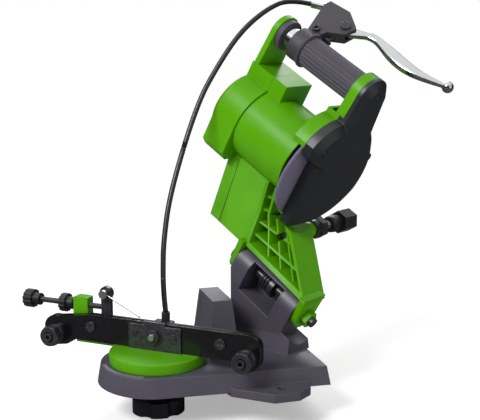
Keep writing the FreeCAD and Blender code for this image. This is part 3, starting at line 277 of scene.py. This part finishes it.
# Cast and sand-painted bracket of the lever: charcoal with a dry texture
BRACKET_PAINT = Finish("charcoal_texture_paint", "black_plastic", "#3B393F", 0.55, Relief.SPARK_GRAIN,
                       0.6, 0.05, shade=0.07, edge_mm=0.7, edge_lift=0.3)
# Thermoplastic rubber of the grip: soft violet grey, dull, with a faint sheen
GRIP_RUBBER = Finish("ribbed_grip_rubber", "grip_rubber", "#433F4B", 0.62, Relief.SPARK_GRAIN, 0.5, 0.02,
                     ior=1.52, shade=0.07, edge_mm=0.3, edge_lift=0.25, sheen=0.15)
# Hot-rolled steel plate, dip-blackened and rubbed: mottled grey, with a painted highlight along its edges
PLATE_STEEL = Finish("rubbed_steel_plate", "plate_steel", "#56545B", 0.42, Relief.BRUSHED, 0.6, 0.02,
                     metallic=0.75, shade=0.45, edge_mm=0.6, edge_lift=1.4, mottle_mm=3.0)
# Vitrified aluminium oxide, 80 grit drawn as 0.7 mm grains so that they show
ABRASIVE = Finish("vitrified_abrasive", "abrasive", "#77718A", 0.85, Relief.GRIT, 0.7, 0.15,
                  shade=0.06, rough_drift=0.03)
# Extruded vinyl over a steel spiral: black, smooth and slightly glossy
SHEATH = Finish("extruded_vinyl_sheath", "cable_sheath", "#1A191E", 0.32, Relief.SPARK_GRAIN, 1.0, 0.01,
                ior=1.53, shade=0.04)
# Enamelled copper wire, varnished into the slots of the armature
WINDING = Finish("varnished_copper_winding", "copper_wound", "#8A4A22", 0.35, Relief.BRUSHED, 0.8, 0.1,
                 metallic=0.8, shade=0.15)
# The unlit gap where two mouldings meet
SEAM_GAP = Finish("seam_gap_in_moulding", "green_plastic", "#14260A", 0.9, Relief.SPARK_GRAIN, 0.9, 0.01,
                  shade=0.02)
# Silicon steel sheets, stacked and pressed: grey with fine lines
LAMINATED_STEEL = Finish("laminated_core_steel", "zinc_steel", "#6E6F73", 0.45, Relief.BRUSHED, 0.5, 0.05,
                         metallic=0.9, shade=0.1)


def head_point(along: float, back: float, up: float) -> Vector:
    """Turn millimetres in the head's own axes into a point of the row frame, in metres."""
    return (AXLE * along + REAR * back + RISE * up + TOOTH) * MM


def spindle_point(along: float, back: float, up: float) -> Vector:
    """Give a point from the spindle's centre, in the head's own axes."""
    return head_point(along, SPINDLE[0] + back, SPINDLE[1] + up)


def vise_point(along: float, back: float, up: float) -> Vector:
    """Turn millimetres in the vise's own axes into a point of the row frame, in metres."""
    c, s = math.cos(VISE_TURN), math.sin(VISE_TURN)
    return Vector((along * c - back * s, along * s + back * c + TURNTABLE_Y, up)) * MM


def lever_point(along: float, away: float, lift: float) -> Vector:
    """Give a point from the handle's axis in the rolled plane of the brake lever."""
    lift += LEVER_LIFT
    return spindle_point(along, HANDLE[0] + away * math.cos(LEVER_ROLL) - lift * math.sin(LEVER_ROLL),
                         HANDLE[1] + away * math.sin(LEVER_ROLL) + lift * math.cos(LEVER_ROLL))


def dress(finish: Finish, *names: str) -> None:
    """Give CAD nodes a finish through their objects' material slots."""
    made = finish.material()
    for name in names:
        for place in NODES[name].material_slots:
            place.material = made
        LOG.info("dressed %s in %s", name, finish.name)


def add_mesh(name: str, points: Sequence[Vector], faces: Sequence[Sequence[int]], finish: Finish,
             body: str | None, smooth: bool = True) -> bpy.types.Object:
    """Add one piece from its points and faces.

    Args:
        name: the piece's name.
        points: vertices in the row frame, in metres.
        faces: vertex numbers of each face.
        finish: the material it gets.
        body: the CAD body it rides on, or None for a piece that rides on no body.
        smooth: whether its faces are shaded smooth.

    Returns:
        The new object, already riding on its body if it has one.
    """
    mesh = bpy.data.meshes.new(name)
    mesh.from_pydata([tuple(p) for p in points], [], [tuple(f) for f in faces])
    work = bmesh.new()
    work.from_mesh(mesh)
    bmesh.ops.recalc_face_normals(work, faces=work.faces)
    work.to_mesh(mesh)
    work.free()
    for polygon in mesh.polygons:
        polygon.use_smooth = smooth
    made = bpy.data.objects.new(name, mesh)
    bpy.context.scene.collection.objects.link(made)
    made.data.materials.append(finish.material())
    if body:
        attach(made, body)
    LOG.info("built %s on %s", name, body)
    return made


def ring_faces(rings: int, corners: int, start: int = 0, closed: bool = False) -> list[list[int]]:
    """Join each ring of points to the next one with four-cornered faces.

    Args:
        rings: number of rings.
        corners: points in each ring.
        start: number of the first point.
        closed: whether the last ring joins the first.

    Returns:
        The faces, in order along the rings.
    """
    faces: list[list[int]] = []
    for k in range(rings if closed else rings - 1):
        here, there = start + k * corners, start + (k + 1) % rings * corners
        for j in range(corners):
            n = (j + 1) % corners
            faces.append([here + j, here + n, there + n, there + j])
    return faces


def end_faces(rings: int, corners: int) -> list[list[int]]:
    """Close the first and the last ring with one face each."""
    return [list(range(corners)), [(rings - 1) * corners + j for j in range(corners)]]


def tube_mesh(path: Sequence[Vector], radii: Sequence[float], sides: int,
              start_up: Vector) -> tuple[list[Vector], list[list[int]]]:
    """Sweep a circle along a path without twist.

    Args:
        path: centre points in metres.
        radii: one radius per point, in metres.
        sides: corners of the circle.
        start_up: a direction that isn't along the path's start.

    Returns:
        The vertices and faces of a closed tube.
    """
    points: list[Vector] = []
    up = start_up.normalized()
    last = len(path) - 1
    for k, centre in enumerate(path):
        way = (path[min(k + 1, last)] - path[max(k - 1, 0)]).normalized()
        up = (up - way * up.dot(way)).normalized()
        side = way.cross(up)
        for j in range(sides):
            a = 2.0 * math.pi * j / sides
            points.append(centre + (up * math.cos(a) + side * math.sin(a)) * radii[k])
    return points, ring_faces(len(path), sides) + end_faces(len(path), sides)


def turned(name: str, start: Vector, way: Vector, profile: Sequence[tuple[float, float]], finish: Finish,
           body: str, sides: int = 48) -> bpy.types.Object:
    """Turn a closed profile about an axis, as a lathe would.

    Args:
        name: the piece's name.
        start: the axis point that the profile is measured from, in metres.
        way: the axis direction.
        profile: corners as (along, radius) in millimetres, in order around the section.
        finish: the material it gets.
        body: the CAD body it rides on.
        sides: steps around the axis.

    Returns:
        The turned piece.
    """
    way = way.normalized()
    across = way.orthogonal().normalized()
    other = way.cross(across)
    points: list[Vector] = []
    for k in range(sides):
        a = 2.0 * math.pi * k / sides
        out = across * math.cos(a) + other * math.sin(a)
        points += [start + (way * along + out * reach) * MM for along, reach in profile]
    return add_mesh(name, points, ring_faces(sides, len(profile), closed=True), finish, body)


def screw_thread(name: str, start: Vector, way: Vector, radius_mm: float, pitch_mm: float, turns: float,
                 finish: Finish, body: str) -> bpy.types.Object:
    """Wind a thread ridge around a screw's shank.

    Args:
        name: the piece's name.
        start: the axis point where the thread begins, in metres.
        way: the screw's direction.
        radius_mm: the shank's radius.
        pitch_mm: how far one turn moves along.
        turns: number of turns.
        finish: the screw's material.
        body: the CAD body it rides on.

    Returns:
        The ridge as one piece.
    """
    way = way.normalized()
    across = way.orthogonal().normalized()
    other = way.cross(across)
    count = int(turns * THREAD_STEPS) + 1
    points: list[Vector] = []
    for k in range(count):
        a = 2.0 * math.pi * k / THREAD_STEPS
        out = across * math.cos(a) + other * math.sin(a)
        # the ridge rises over its first turn and runs out over its last
        fade = min(1.0, k / THREAD_STEPS, (count - 1 - k) / THREAD_STEPS)
        for along, high in THREAD_SECTION:
            reach = radius_mm + high * pitch_mm * fade - THREAD_SINK_MM
            points.append(start + (way * (pitch_mm * (k / THREAD_STEPS + along)) + out * reach) * MM)
    corners = len(THREAD_SECTION)
    faces = ring_faces(count, corners) + end_faces(count, corners)
    return add_mesh(name, points, faces, finish, body, smooth=False)


@dataclass(frozen=True)
class Lamp:
    """One soft square lamp: its place, the point it faces and its side in metres, and its power."""

    name: str
    spot: tuple[float, float, float]
    aim: tuple[float, float, float]
    size: float
    watts: float

    def build(self) -> None:
        """Hang the lamp and turn it to its point."""
        data = bpy.data.lights.new(self.name, "AREA")
        data.shape = "SQUARE"
        data.size = self.size
        data.energy = self.watts
        made = bpy.data.objects.new(self.name, data)
        made.location = self.spot
        made.rotation_euler = (Vector(self.aim) - Vector(self.spot)).to_track_quat("-Z", "Y").to_euler()
        bpy.context.scene.collection.objects.link(made)


@dataclass
class Studio:
    """Camera, soft lights and the pale floor that the lock knob stands on."""

    eye_mm: tuple[float, float, float] = (876.8, -284.6, 331.0)
    gaze: tuple[float, float, float] = (-0.9398, 0.2873, -0.1848)
    lens_mm: float = 75.0
    sensor_mm: float = 36.0
    far_clip: float = 30.0
    floor_mm: float = -28.4
    floor_half: float = 4.0
    paper_grey: float = 0.9
    paper_glow: float = 0.36
    # distances in metres between which the floor turns from lit paper to plain white
    paper_fade: tuple[float, float] = (0.2, 0.6)
    card_grey: float = 0.12
    sky_strength: float = 0.2
    # what polished pieces mirror: from and to height, and the strength at each
    mirror_height: tuple[float, float] = (0.3, 0.75)
    mirror_strength: tuple[float, float] = (0.03, 1.1)
    lamps: tuple[Lamp, ...] = (
        Lamp("key", (0.7, -1.2, 1.3), (0.0, -0.02, 0.15), 0.7, 25.0),
        Lamp("fill", (1.3, 0.8, 0.3), (0.0, -0.02, 0.15), 1.2, 4.0),
        Lamp("rim", (-1.1, 0.4, 1.1), (0.0, 0.0, 0.2), 0.8, 14.0))

    def camera(self) -> None:
        """Place the camera where the photograph was taken from."""
        data = bpy.data.cameras.new("camera")
        data.lens = self.lens_mm
        data.sensor_width = self.sensor_mm
        data.clip_end = self.far_clip
        data.dof.use_dof = False
        made = bpy.data.objects.new("camera", data)
        made.location = Vector(self.eye_mm) * MM
        made.rotation_euler = Vector(self.gaze).to_track_quat("-Z", "Y").to_euler()
        bpy.context.scene.collection.objects.link(made)
        bpy.context.scene.camera = made

    def floor(self) -> None:
        """Lay a pale floor that turns white for the camera and keeps the shadow."""
        half, z = self.floor_half, self.floor_mm * MM
        mesh = bpy.data.meshes.new("floor")
        mesh.from_pydata([(-half, -half, z), (half, -half, z), (half, half, z), (-half, half, z)], [],
                         [(0, 1, 2, 3)])
        made = bpy.data.objects.new("floor", mesh)
        bpy.context.scene.collection.objects.link(made)
        paper = bpy.data.materials.new("pale_paper_floor")
        paper.use_nodes = True
        tree = paper.node_tree
        tree.nodes.clear()
        matt = add_node(tree, "BsdfDiffuse", {"Color": (*[self.paper_grey] * 3, 1.0)})
        glow = add_node(tree, "Emission", {"Color": WHITE, "Strength": self.paper_glow})
        lit = add_node(tree, "AddShader", {0: matt.outputs[0], 1: glow.outputs[0]})
        white = add_node(tree, "Emission", {"Color": WHITE, "Strength": 1.0})
        place = add_node(tree, "TexCoord")
        reach = add_node(tree, "VectorMath", {0: place.outputs["Object"]}, operation="LENGTH")
        near, far = self.paper_fade
        away = add_node(tree, "MapRange", {"Value": reach.outputs["Value"], "From Min": near,
                                           "From Max": far})
        seen = add_node(tree, "MixShader", {0: away.outputs["Result"], 1: lit.outputs[0],
                                            2: white.outputs[0]})
        # polished and black pieces mirror a dark floor, as they do in a studio with black cards
        card = add_node(tree, "BsdfDiffuse", {"Color": (*[self.card_grey] * 3, 1.0)})
        path = add_node(tree, "LightPath")
        hidden = add_node(tree, "MixShader", {0: path.outputs["Is Glossy Ray"], 1: matt.outputs[0],
                                              2: card.outputs[0]})
        shown = add_node(tree, "MixShader", {0: path.outputs["Is Camera Ray"], 1: hidden.outputs[0],
                                             2: seen.outputs[0]})
        add_node(tree, "OutputMaterial", {"Surface": shown.outputs[0]})
        made.data.materials.append(paper)

    def world(self) -> None:
        """Light the object evenly from a pale sky and show pure white behind it."""
        world = bpy.data.worlds.new("studio")
        world.use_nodes = True
        tree = world.node_tree
        tree.nodes.clear()
        path = add_node(tree, "LightPath")
        ambient = add_node(tree, "Background", {"Color": WHITE, "Strength": self.sky_strength})
        white = add_node(tree, "Background", {"Color": WHITE, "Strength": 1.0})
        height = add_node(tree, "SeparateXYZ", {0: add_node(tree, "TexCoord").outputs["Generated"]})
        (low, high), (dark, bright) = self.mirror_height, self.mirror_strength
        ceiling = add_node(tree, "MapRange", {"Value": height.outputs["Z"], "From Min": low, "From Max": high,
                                              "To Min": dark, "To Max": bright})
        mirrored = add_node(tree, "Background", {"Color": WHITE, "Strength": ceiling.outputs["Result"]})
        hidden = add_node(tree, "MixShader", {0: path.outputs["Is Glossy Ray"], 1: ambient.outputs[0],
                                              2: mirrored.outputs[0]})
        shown = add_node(tree, "MixShader", {0: path.outputs["Is Camera Ray"], 1: hidden.outputs[0],
                                             2: white.outputs[0]})
        add_node(tree, "OutputWorld", {"Surface": shown.outputs[0]})
        bpy.context.scene.world = world

    def build(self) -> None:
        """Set up the whole studio."""
        self.camera()
        self.floor()
        self.world()
        for lamp in self.lamps:
            lamp.build()
        bpy.context.scene.view_settings.view_transform = "Standard"
        LOG.info("studio ready")


@dataclass
class LeverCable:
    """The control cable that rises from the vise and bends over to the brake lever."""

    radius_mm: float = 2.5
    sides: int = 14
    # control points of each run, in the row frame
    foot_mm: tuple[tuple[float, float, float], ...] = (
        (-9.2, -86.7, 63.8), (-12.8, -87.7, 79.0), (-17.4, -86.8, 94.6))
    middle_mm: tuple[tuple[float, float, float], ...] = (
        (-17.4, -86.8, 94.6), (-18.9, -86.5, 99.8), (-27.0, -84.0, 126.0), (-41.5, -73.5, 171.5),
        (-53.0, -57.0, 212.0))
    upper_mm: tuple[tuple[float, float, float], ...] = (
        (-53.2, -56.7, 212.7), (-64.5, -40.5, 252.5), (-72.0, -18.0, 288.0), (-77.0, 7.0, 321.0),
        (-78.5, 34.0, 343.0), (-77.0, 58.0, 353.5), (-72.5, 79.6, 348.5))

    def centreline(self, name: str, route: Sequence[Sequence[float]]) -> list[Vector]:
        """Read the points of a route's smooth spline.

        Args:
            name: a name for the spline while it is read.
            route: its control points in millimetres.

        Returns:
            Points along the spline, in metres.
        """
        curve = bpy.data.curves.new(name, "CURVE")
        curve.dimensions = "3D"
        curve.resolution_u = 12
        line = curve.splines.new("NURBS")
        line.points.add(len(route) - 1)
        for place, (x, y, z) in zip(line.points, route):
            place.co = (x * MM, y * MM, z * MM, 1.0)
        line.order_u = 3
        line.use_endpoint_u = True
        holder = bpy.data.objects.new(name, curve)
        bpy.context.scene.collection.objects.link(holder)
        bpy.context.view_layer.update()
        mesh = bpy.data.meshes.new_from_object(holder)
        found = [v.co.copy() for v in mesh.vertices]
        bpy.data.objects.remove(holder)
        bpy.data.curves.remove(curve)
        bpy.data.meshes.remove(mesh)
        return found

    def run(self, name: str, route: Sequence[Sequence[float]], node: str, ends: tuple[str, str],
            span: tuple[Sequence[float], Sequence[float]]) -> None:
        """Build one run of the cable and let it bend between two bodies.

        Args:
            name: the piece's name.
            route: its control points in millimetres.
            node: the CAD node that it stands for.
            ends: the bodies that its first and last stretch would follow; not used.
            span: the points in millimetres between which it would turn from one to the other; not used.
        """
        line = self.centreline(name + "_line", route)
        radii = [self.radius_mm * MM] * len(line)
        points, faces = tube_mesh(line, radii, self.sides, Vector((1.0, 0.0, 0.0)))
        piece = add_mesh(name, points, faces, SHEATH, None)
        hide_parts(node)
        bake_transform(piece)

    def build(self) -> None:
        """Build the cable's foot and its two runs, none of which rides on a body."""
        top = self.middle_mm[0]
        swing = (top, self.middle_mm[-1])
        self.run("cable_foot_sheath", self.foot_mm, "cable_lower", ("vise", "base"), (self.foot_mm[0], top))
        self.run("cable_middle_sheath", self.middle_mm, "cable_lower", ("base", "head"), swing)
        self.run("cable_upper_sheath", self.upper_mm, "cable_upper", ("base", "head"), swing)


@dataclass
class Base:
    """The grey casting with its tower and stop post, and the spring that lifts the head."""

    hinge_mm: tuple[float, float] = (111.0, 36.5)
    spring_start_mm: float = 23.0
    spring_radius_mm: float = 8.6
    spring_wire_mm: float = 1.2
    spring_pitch_mm: float = 3.2
    spring_turns: int = 3
    spring_leg_mm: float = 9.0
    spring_steps: int = 32
    spring_sides: int = 12
    deck_mm: float = 20.5
    stroke_count: int = 25
    stroke_step_deg: float = 2.5
    stroke_centre_deg: float = -58.0
    # from, to and half width of one stroke of the scale, and how high it stands
    stroke_mm: tuple[float, float, float, float] = (48.4, 52.2, 0.45, 0.8)
    # every sixth stroke is long, the others end earlier, and all sink a little into the deck
    long_stroke_step: int = 6
    short_by_mm: float = 1.0
    stroke_sink_mm: float = 0.2
    # the tower's rear web behind the spring: along, back and up, each as a pair of ends
    web_mm: tuple[tuple[float, float], ...] = ((10.5, 54.5), (118.5, 121.5), (14.0, 40.0))

    def scale(self) -> None:
        """Raise the strokes of the swivel scale on the pad's rim."""
        near, far, half, high = self.stroke_mm
        points: list[Vector] = []
        faces: list[list[int]] = []
        first_deg = self.stroke_centre_deg - (self.stroke_count - 1) / 2 * self.stroke_step_deg
        for k in range(self.stroke_count):
            a = math.radians(first_deg + k * self.stroke_step_deg)
            out = Vector((math.cos(a), math.sin(a), 0.0))
            side = Vector((-math.sin(a), math.cos(a), 0.0))
            end = far if k % self.long_stroke_step == 0 else far - self.short_by_mm
            start = len(points)
            for z in (self.deck_mm - self.stroke_sink_mm, self.deck_mm + high):
                centre = Vector((0.0, TURNTABLE_Y, z))
                points += [(centre + out * r + side * s) * MM
                           for r, s in ((near, -half), (end, -half), (end, half), (near, half))]
            faces += [[start + n for n in face] for face in BOX_FACES]
        # the strokes are painted pale as a painted highlight along their tops
        add_mesh("scale_strokes", points, faces, STROKE_HIGHLIGHT_COAT, "base", smooth=False)

    def web(self) -> None:
        """Close the tower behind its spring with the casting's rear web."""
        (d0, d1), (y0, y1), (z0, z1) = self.web_mm
        corners = ((d0, y0), (d1, y0), (d1, y1), (d0, y1))
        points = [head_point(d, y, z) for z in (z0, z1) for d, y in corners]
        add_mesh("tower_web", points, BOX_FACES, BASE_POWDER_COAT, "base", smooth=False)

    def dress(self) -> None:
        """Give the casting and the hinge hardware their finishes."""
        dress(BASE_POWDER_COAT, "base_casting")
        dress(BLACK_OXIDE, "torsion_spring", "hinge_pin", "spring_collar")
        dress(GREEN_ABS, "hinge_nut")

    def spring(self) -> None:
        """Wind the torsion spring as round wire with its two straight legs."""
        back, up = self.hinge_mm
        path: list[Vector] = []
        for k in range(self.spring_turns * self.spring_steps + 1):
            turns = k / self.spring_steps
            a = 2.0 * math.pi * turns
            path.append(head_point(self.spring_start_mm + self.spring_pitch_mm * turns,
                                   back + self.spring_radius_mm * math.cos(a),
                                   up + self.spring_radius_mm * math.sin(a)))
        leg = self.spring_leg_mm * MM
        first, last = (path[0] - path[1]).normalized(), (path[-1] - path[-2]).normalized()
        path = [path[0] + first * leg] + path + [path[-1] + last * leg]
        points, faces = tube_mesh(path, [self.spring_wire_mm * MM] * len(path), self.spring_sides, AXLE)
        piece = add_mesh("torsion_spring_wire", points, faces, BLACK_OXIDE, "base")
        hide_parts("torsion_spring")

    def build(self) -> None:
        """Dress the base, wind its spring, raise its scale and close its tower."""
        self.dress()
        self.spring()
        self.scale()
        self.web()


@dataclass
class Vise:
    """The turntable, the two rails that grip the chain, and the knob below."""

    # the end nuts stand on the near face of the front rail
    rail_ends_mm: tuple[float, float] = (-108.0, 92.0)
    rail_bolt_z_mm: float = 34.5
    rail_face_mm: float = -4.2
    nut_flats_mm: float = 18.0
    nut_bore_mm: float = 4.3
    nut_length_mm: float = 9.0
    nut_collar_mm: tuple[float, float] = (9.6, 5.0)
    nut_gap_mm: float = 0.1
    nut_sides: int = 48
    # chamfers of the collar, of the bore and along the hexagon's end
    nut_chamfers_mm: tuple[float, float, float] = (0.6, 0.8, 1.0)
    # how much of the hexagon's corner its end keeps, and how much its flanks keep
    nut_end_share: float = 0.9
    nut_flank_share: float = 0.985

    def end_nut(self, name: str, along: float) -> None:
        """Model one long hexagon nut with its round collar, chamfered corners and open bore.

        Args:
            name: the piece's name.
            along: the nut's place along the rail in millimetres.
        """
        corner = self.nut_flats_mm / math.sqrt(3.0)
        collar_r, collar_l = self.nut_collar_mm
        end = collar_l + self.nut_length_mm
        lip, mouth, bevel = self.nut_chamfers_mm
        # out from the rail, radius, and whether the ring follows the hexagon
        rings = ((self.nut_gap_mm, collar_r, False), (collar_l - lip, collar_r, False),
                 (collar_l, collar_r - lip, False), (collar_l, corner, True), (end - bevel, corner, True),
                 (end, corner * self.nut_end_share, False), (end, self.nut_bore_mm + mouth, False),
                 (end - mouth, self.nut_bore_mm, False), (self.nut_gap_mm, self.nut_bore_mm, False))
        points: list[Vector] = []
        for out, reach, hexed in rings:
            for k in range(self.nut_sides):
                a = 2.0 * math.pi * k / self.nut_sides
                r = reach
                if hexed:
                    within = (a % (math.pi / 3.0)) - math.pi / 6.0
                    r = min(reach * self.nut_flank_share, self.nut_flats_mm / 2.0 / math.cos(within))
                points.append(vise_point(along + r * math.cos(a), self.rail_face_mm - out,
                                         self.rail_bolt_z_mm + r * math.sin(a)))
        faces = ring_faces(len(rings), self.nut_sides, closed=True)
        piece = add_mesh(name, points, faces, BLACK_OXIDE, "vise", smooth=False)
        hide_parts("end_nuts")

    def dress(self) -> None:
        """Give the vise's CAD nodes their finishes."""
        dress(GREEN_ABS, "turntable", "stop_block")
        dress(BLACK_ENAMEL, "front_rail", "clamp_jaw")
        dress(PLATE_STEEL, "centre_plate")
        dress(BLACK_OXIDE, "end_bolts", "end_nuts", "clamp_nut", "plate_screws", "cable_anchor")
        dress(ZINC, "clamp_stud", "pivot_stud", "pad_washer")
        dress(BLACK_NYLON, "lock_knob")

    def build(self) -> None:
        """Dress the vise and model its end nuts."""
        self.dress()
        for name, along in zip(("end_nut_left", "end_nut_right"), self.rail_ends_mm):
            self.end_nut(name, along)


@dataclass
class ChainStop:
    """The screw-set stop with its wire finger."""

    # where the thread begins in the vise's own axes, and its shank, pitch and turns
    thread_start_mm: tuple[float, float, float] = (-131.5, 8.5, 62.5)
    thread_radius_mm: float = 2.5
    thread_pitch_mm: float = 1.2
    thread_turns: float = 55.0

    def dress(self) -> None:
        """Give the stop's CAD nodes their finishes."""
        dress(BLACK_OXIDE, "stop_arm")
        dress(ZINC, "stop_pivot_screw", "stop_finger")
        dress(BLACK_NYLON, "stop_screw", "stop_lock_knob")

    def build(self) -> None:
        """Dress the stop and cut the thread of its screw."""
        self.dress()
        way = vise_point(1.0, 0.0, 0.0) - vise_point(0.0, 0.0, 0.0)
        screw_thread("stop_screw_thread", vise_point(*self.thread_start_mm), way, self.thread_radius_mm,
                     self.thread_pitch_mm, self.thread_turns, BLACK_OXIDE, "stop_screw")


@dataclass
class MotorHead:
    """The housing, guard, arm and everything inside the motor."""

    # the seam's two ends on the front panel: along, back and up in the head's own axes
    seam_mm: tuple[tuple[float, float, float], ...] = ((-48.5, 102.6, 54.2), (-78.0, 130.3, 125.0))
    # the depth knob's collar: back along the screw, and radius
    collar_mm: tuple[tuple[float, float], ...] = (
        (198.5, 4.2), (198.5, 6.0), (200.5, 8.4), (208.0, 9.2), (209.0, 8.0), (215.8, 8.0), (215.8, 4.2))
    seam_width_mm: float = 0.7
    seam_proud_mm: float = 0.12
    # the depth screw's axis, along and up, and where its thread begins
    depth_axis_mm: tuple[float, float] = (12.0, 78.0)
    thread_start_mm: float = 129.0
    thread_radius_mm: float = 4.0
    thread_pitch_mm: float = 1.6
    thread_turns: float = 50.0

    def dress(self) -> None:
        """Give the head's CAD nodes their finishes."""
        dress(GREEN_ABS, "motor_housing", "end_cover", "guard_back", "arm")
        dress(BLACK_ABS, "guard_cover")
        dress(BLACK_NYLON, "bearing_carrier", "brush_holders", "switch_bezel", "switch_rocker",
              "mains_gland", "cooling_fan")
        dress(BLACK_OXIDE, "cover_screws", "depth_screw", "depth_nuts")
        dress(ZINC, "motor_shaft", "inner_flange", "outer_flange", "wheel_nut", "front_bearing",
              "rear_bearing")
        dress(LAMINATED_STEEL, "stator")
        dress(WINDING, "armature")
        dress(ABRASIVE, "grinding_wheel")

    def seam(self) -> None:
        """Draw the parting gap down the arm's front panel as a slim dark strip."""
        (d0, y0, z0), (d1, y1, z1) = self.seam_mm
        half, proud = self.seam_width_mm / 2.0, self.seam_proud_mm
        slope = math.hypot(y1 - y0, z1 - z0)
        out = (-(z1 - z0) / slope, (y1 - y0) / slope)
        points = [head_point(d + side * half, y + out[0] * lift, z + out[1] * lift)
                  for d, y, z in ((d0, y0, z0), (d1, y1, z1))
                  for side, lift in ((-1, -proud), (1, -proud), (1, proud), (-1, proud))]
        add_mesh("arm_seam", points, BOX_FACES, SEAM_GAP, "head", smooth=False)

    def build(self) -> None:
        """Dress the head, draw its seam, and turn the depth screw's collar and thread."""
        self.dress()
        self.seam()
        along, up = self.depth_axis_mm
        turned("depth_knob_collar", head_point(along, 0.0, up), REAR, self.collar_mm, BLACK_NYLON, "depth")
        screw_thread("depth_screw_thread", head_point(along, self.thread_start_mm, up), REAR,
                     self.thread_radius_mm, self.thread_pitch_mm, self.thread_turns, ZINC, "depth")


@dataclass
class Handle:
    """The grip on its chromed tube, and the brake lever in its bracket."""

    # along, away from the grip, half width in the lever's plane, half thickness
    blade: tuple[tuple[float, float, float, float], ...] = (
        (-71.0, 41.0, 4.6, 2.9), (-66.0, 42.5, 7.0, 3.0), (-60.0, 44.0, 7.6, 3.0), (-52.0, 48.5, 6.0, 3.0),
        (-44.0, 53.2, 4.6, 3.0), (-34.0, 54.6, 4.2, 3.2), (-24.0, 53.2, 5.0, 3.6), (-12.0, 51.0, 6.4, 4.2),
        (0.0, 49.4, 6.8, 4.4), (12.0, 49.0, 6.2, 4.2), (24.0, 50.4, 4.8, 3.6), (36.0, 53.4, 3.4, 2.9),
        (46.0, 56.8, 2.5, 2.4), (52.0, 59.0, 2.3, 2.2))
    ball_mm: float = 5.6
    ball_at_mm: tuple[float, float] = (52.3, 59.0)
    ball_rings: int = 12
    sides: int = 20
    rows_between: int = 4
    # under 1 turns the blade's oval section towards a rounded box
    squareness: float = 0.72
    # the flange's place along the grip, and its section as (along, radius)
    flange_along_mm: float = -72.4
    flange_mm: tuple[tuple[float, float], ...] = (
        (0.0, 15.4), (0.0, 17.2), (0.6, 18.0), (1.8, 18.0), (2.6, 17.2), (3.0, 15.4))

    def blade_rows(self) -> list[tuple[float, ...]]:
        """Run a smooth curve through the blade's listed sections.

        Returns:
            More sections of the same kind, from the bracket to the ball.
        """
        rows: list[tuple[float, ...]] = []
        knots = self.blade
        for k in range(len(knots) - 1):
            before = knots[max(k - 1, 0)]
            after = knots[min(k + 2, len(knots) - 1)]
            for s in range(self.rows_between):
                t = s / self.rows_between
                rows.append(tuple(
                    0.5 * ((2 * p1) + (-p0 + p2) * t + (2 * p0 - 5 * p1 + 4 * p2 - p3) * t * t
                           + (-p0 + 3 * p1 - 3 * p2 + p3) * t ** 3)
                    for p0, p1, p2, p3 in zip(before, knots[k], knots[k + 1], after)))
        rows.append(knots[-1])
        return rows

    def blade_points(self, rows: Sequence[Sequence[float]]) -> list[Vector]:
        """Lay a rounded box section around each row of the blade.

        Args:
            rows: along, away from the grip, half width and half thickness of each section.

        Returns:
            One ring of points per row.
        """
        points: list[Vector] = []
        for k, (along, away, wide, thick) in enumerate(rows):
            ahead, behind = rows[min(k + 1, len(rows) - 1)], rows[max(k - 1, 0)]
            run, climb = ahead[0] - behind[0], ahead[1] - behind[1]
            size = math.hypot(run, climb)
            for j in range(self.sides):
                a = 2.0 * math.pi * j / self.sides
                c, s = math.cos(a), math.sin(a)
                c = math.copysign(abs(c) ** self.squareness, c)
                s = math.copysign(abs(s) ** self.squareness, s)
                points.append(lever_point(along - climb / size * c * wide, away + run / size * c * wide,
                                          s * thick))
        return points

    def ball(self, start: int) -> tuple[list[Vector], list[list[int]]]:
        """Model the ball at the lever's end.

        Args:
            start: the number of its first point in the lever's mesh.

        Returns:
            Its points and faces.
        """
        along, away = self.ball_at_mm
        points: list[Vector] = []
        for i in range(1, self.ball_rings):
            v = math.pi * i / self.ball_rings
            for j in range(self.sides):
                u = 2.0 * math.pi * j / self.sides
                points.append(lever_point(along + self.ball_mm * math.sin(v) * math.cos(u),
                                          away + self.ball_mm * math.sin(v) * math.sin(u),
                                          self.ball_mm * math.cos(v)))
        top = start + len(points)
        points += [lever_point(along, away, self.ball_mm), lever_point(along, away, -self.ball_mm)]
        faces = ring_faces(self.ball_rings - 1, self.sides, start)
        lowest = start + (self.ball_rings - 2) * self.sides
        for j in range(self.sides):
            n = (j + 1) % self.sides
            faces += [[top, start + n, start + j], [top + 1, lowest + j, lowest + n]]
        return points, faces

    def lever(self) -> None:
        """Model the hand-filed blade of the brake lever with its ball end."""
        rows = self.blade_rows()
        points = self.blade_points(rows)
        faces = ring_faces(len(rows), self.sides) + end_faces(len(rows), self.sides)
        more_points, more_faces = self.ball(len(points))
        piece = add_mesh("brake_lever_blade", points + more_points, faces + more_faces, BUFFED_ALUMINIUM,
                         "lever")
        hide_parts("brake_lever")

    def dress(self) -> None:
        """Give the handle's CAD nodes their finishes."""
        dress(CHROME, "handle_tube", "cable_adjuster")
        dress(GRIP_RUBBER, "grip", "handle_collar")
        dress(BRACKET_PAINT, "lever_bracket")
        dress(BLACK_OXIDE, "clamp_bolt", "lever_pivot_screw", "reach_screw")

    def flange(self) -> None:
        """Turn the rubber flange at the grip's far end, with its rounded lip."""
        turned("grip_flange", spindle_point(self.flange_along_mm, *HANDLE), AXLE, self.flange_mm,
               GRIP_RUBBER, "head")

    def build(self) -> None:
        """Dress the handle, and model the flange and the lever."""
        self.dress()
        self.flange()
        self.lever()


def main() -> None:
    """Build the scene: studio and cable first, then each sub-assembly."""
    logging.basicConfig(level=logging.INFO, format="%(name)s: %(message)s")
    Studio().build()
    for part in (LeverCable(), Base(), Vise(), ChainStop(), MotorHead(), Handle()):
        part.build()
        LOG.info("%s done", type(part).__name__)
    bpy.context.view_layer.update()


if __name__ == "__main__":
    main()
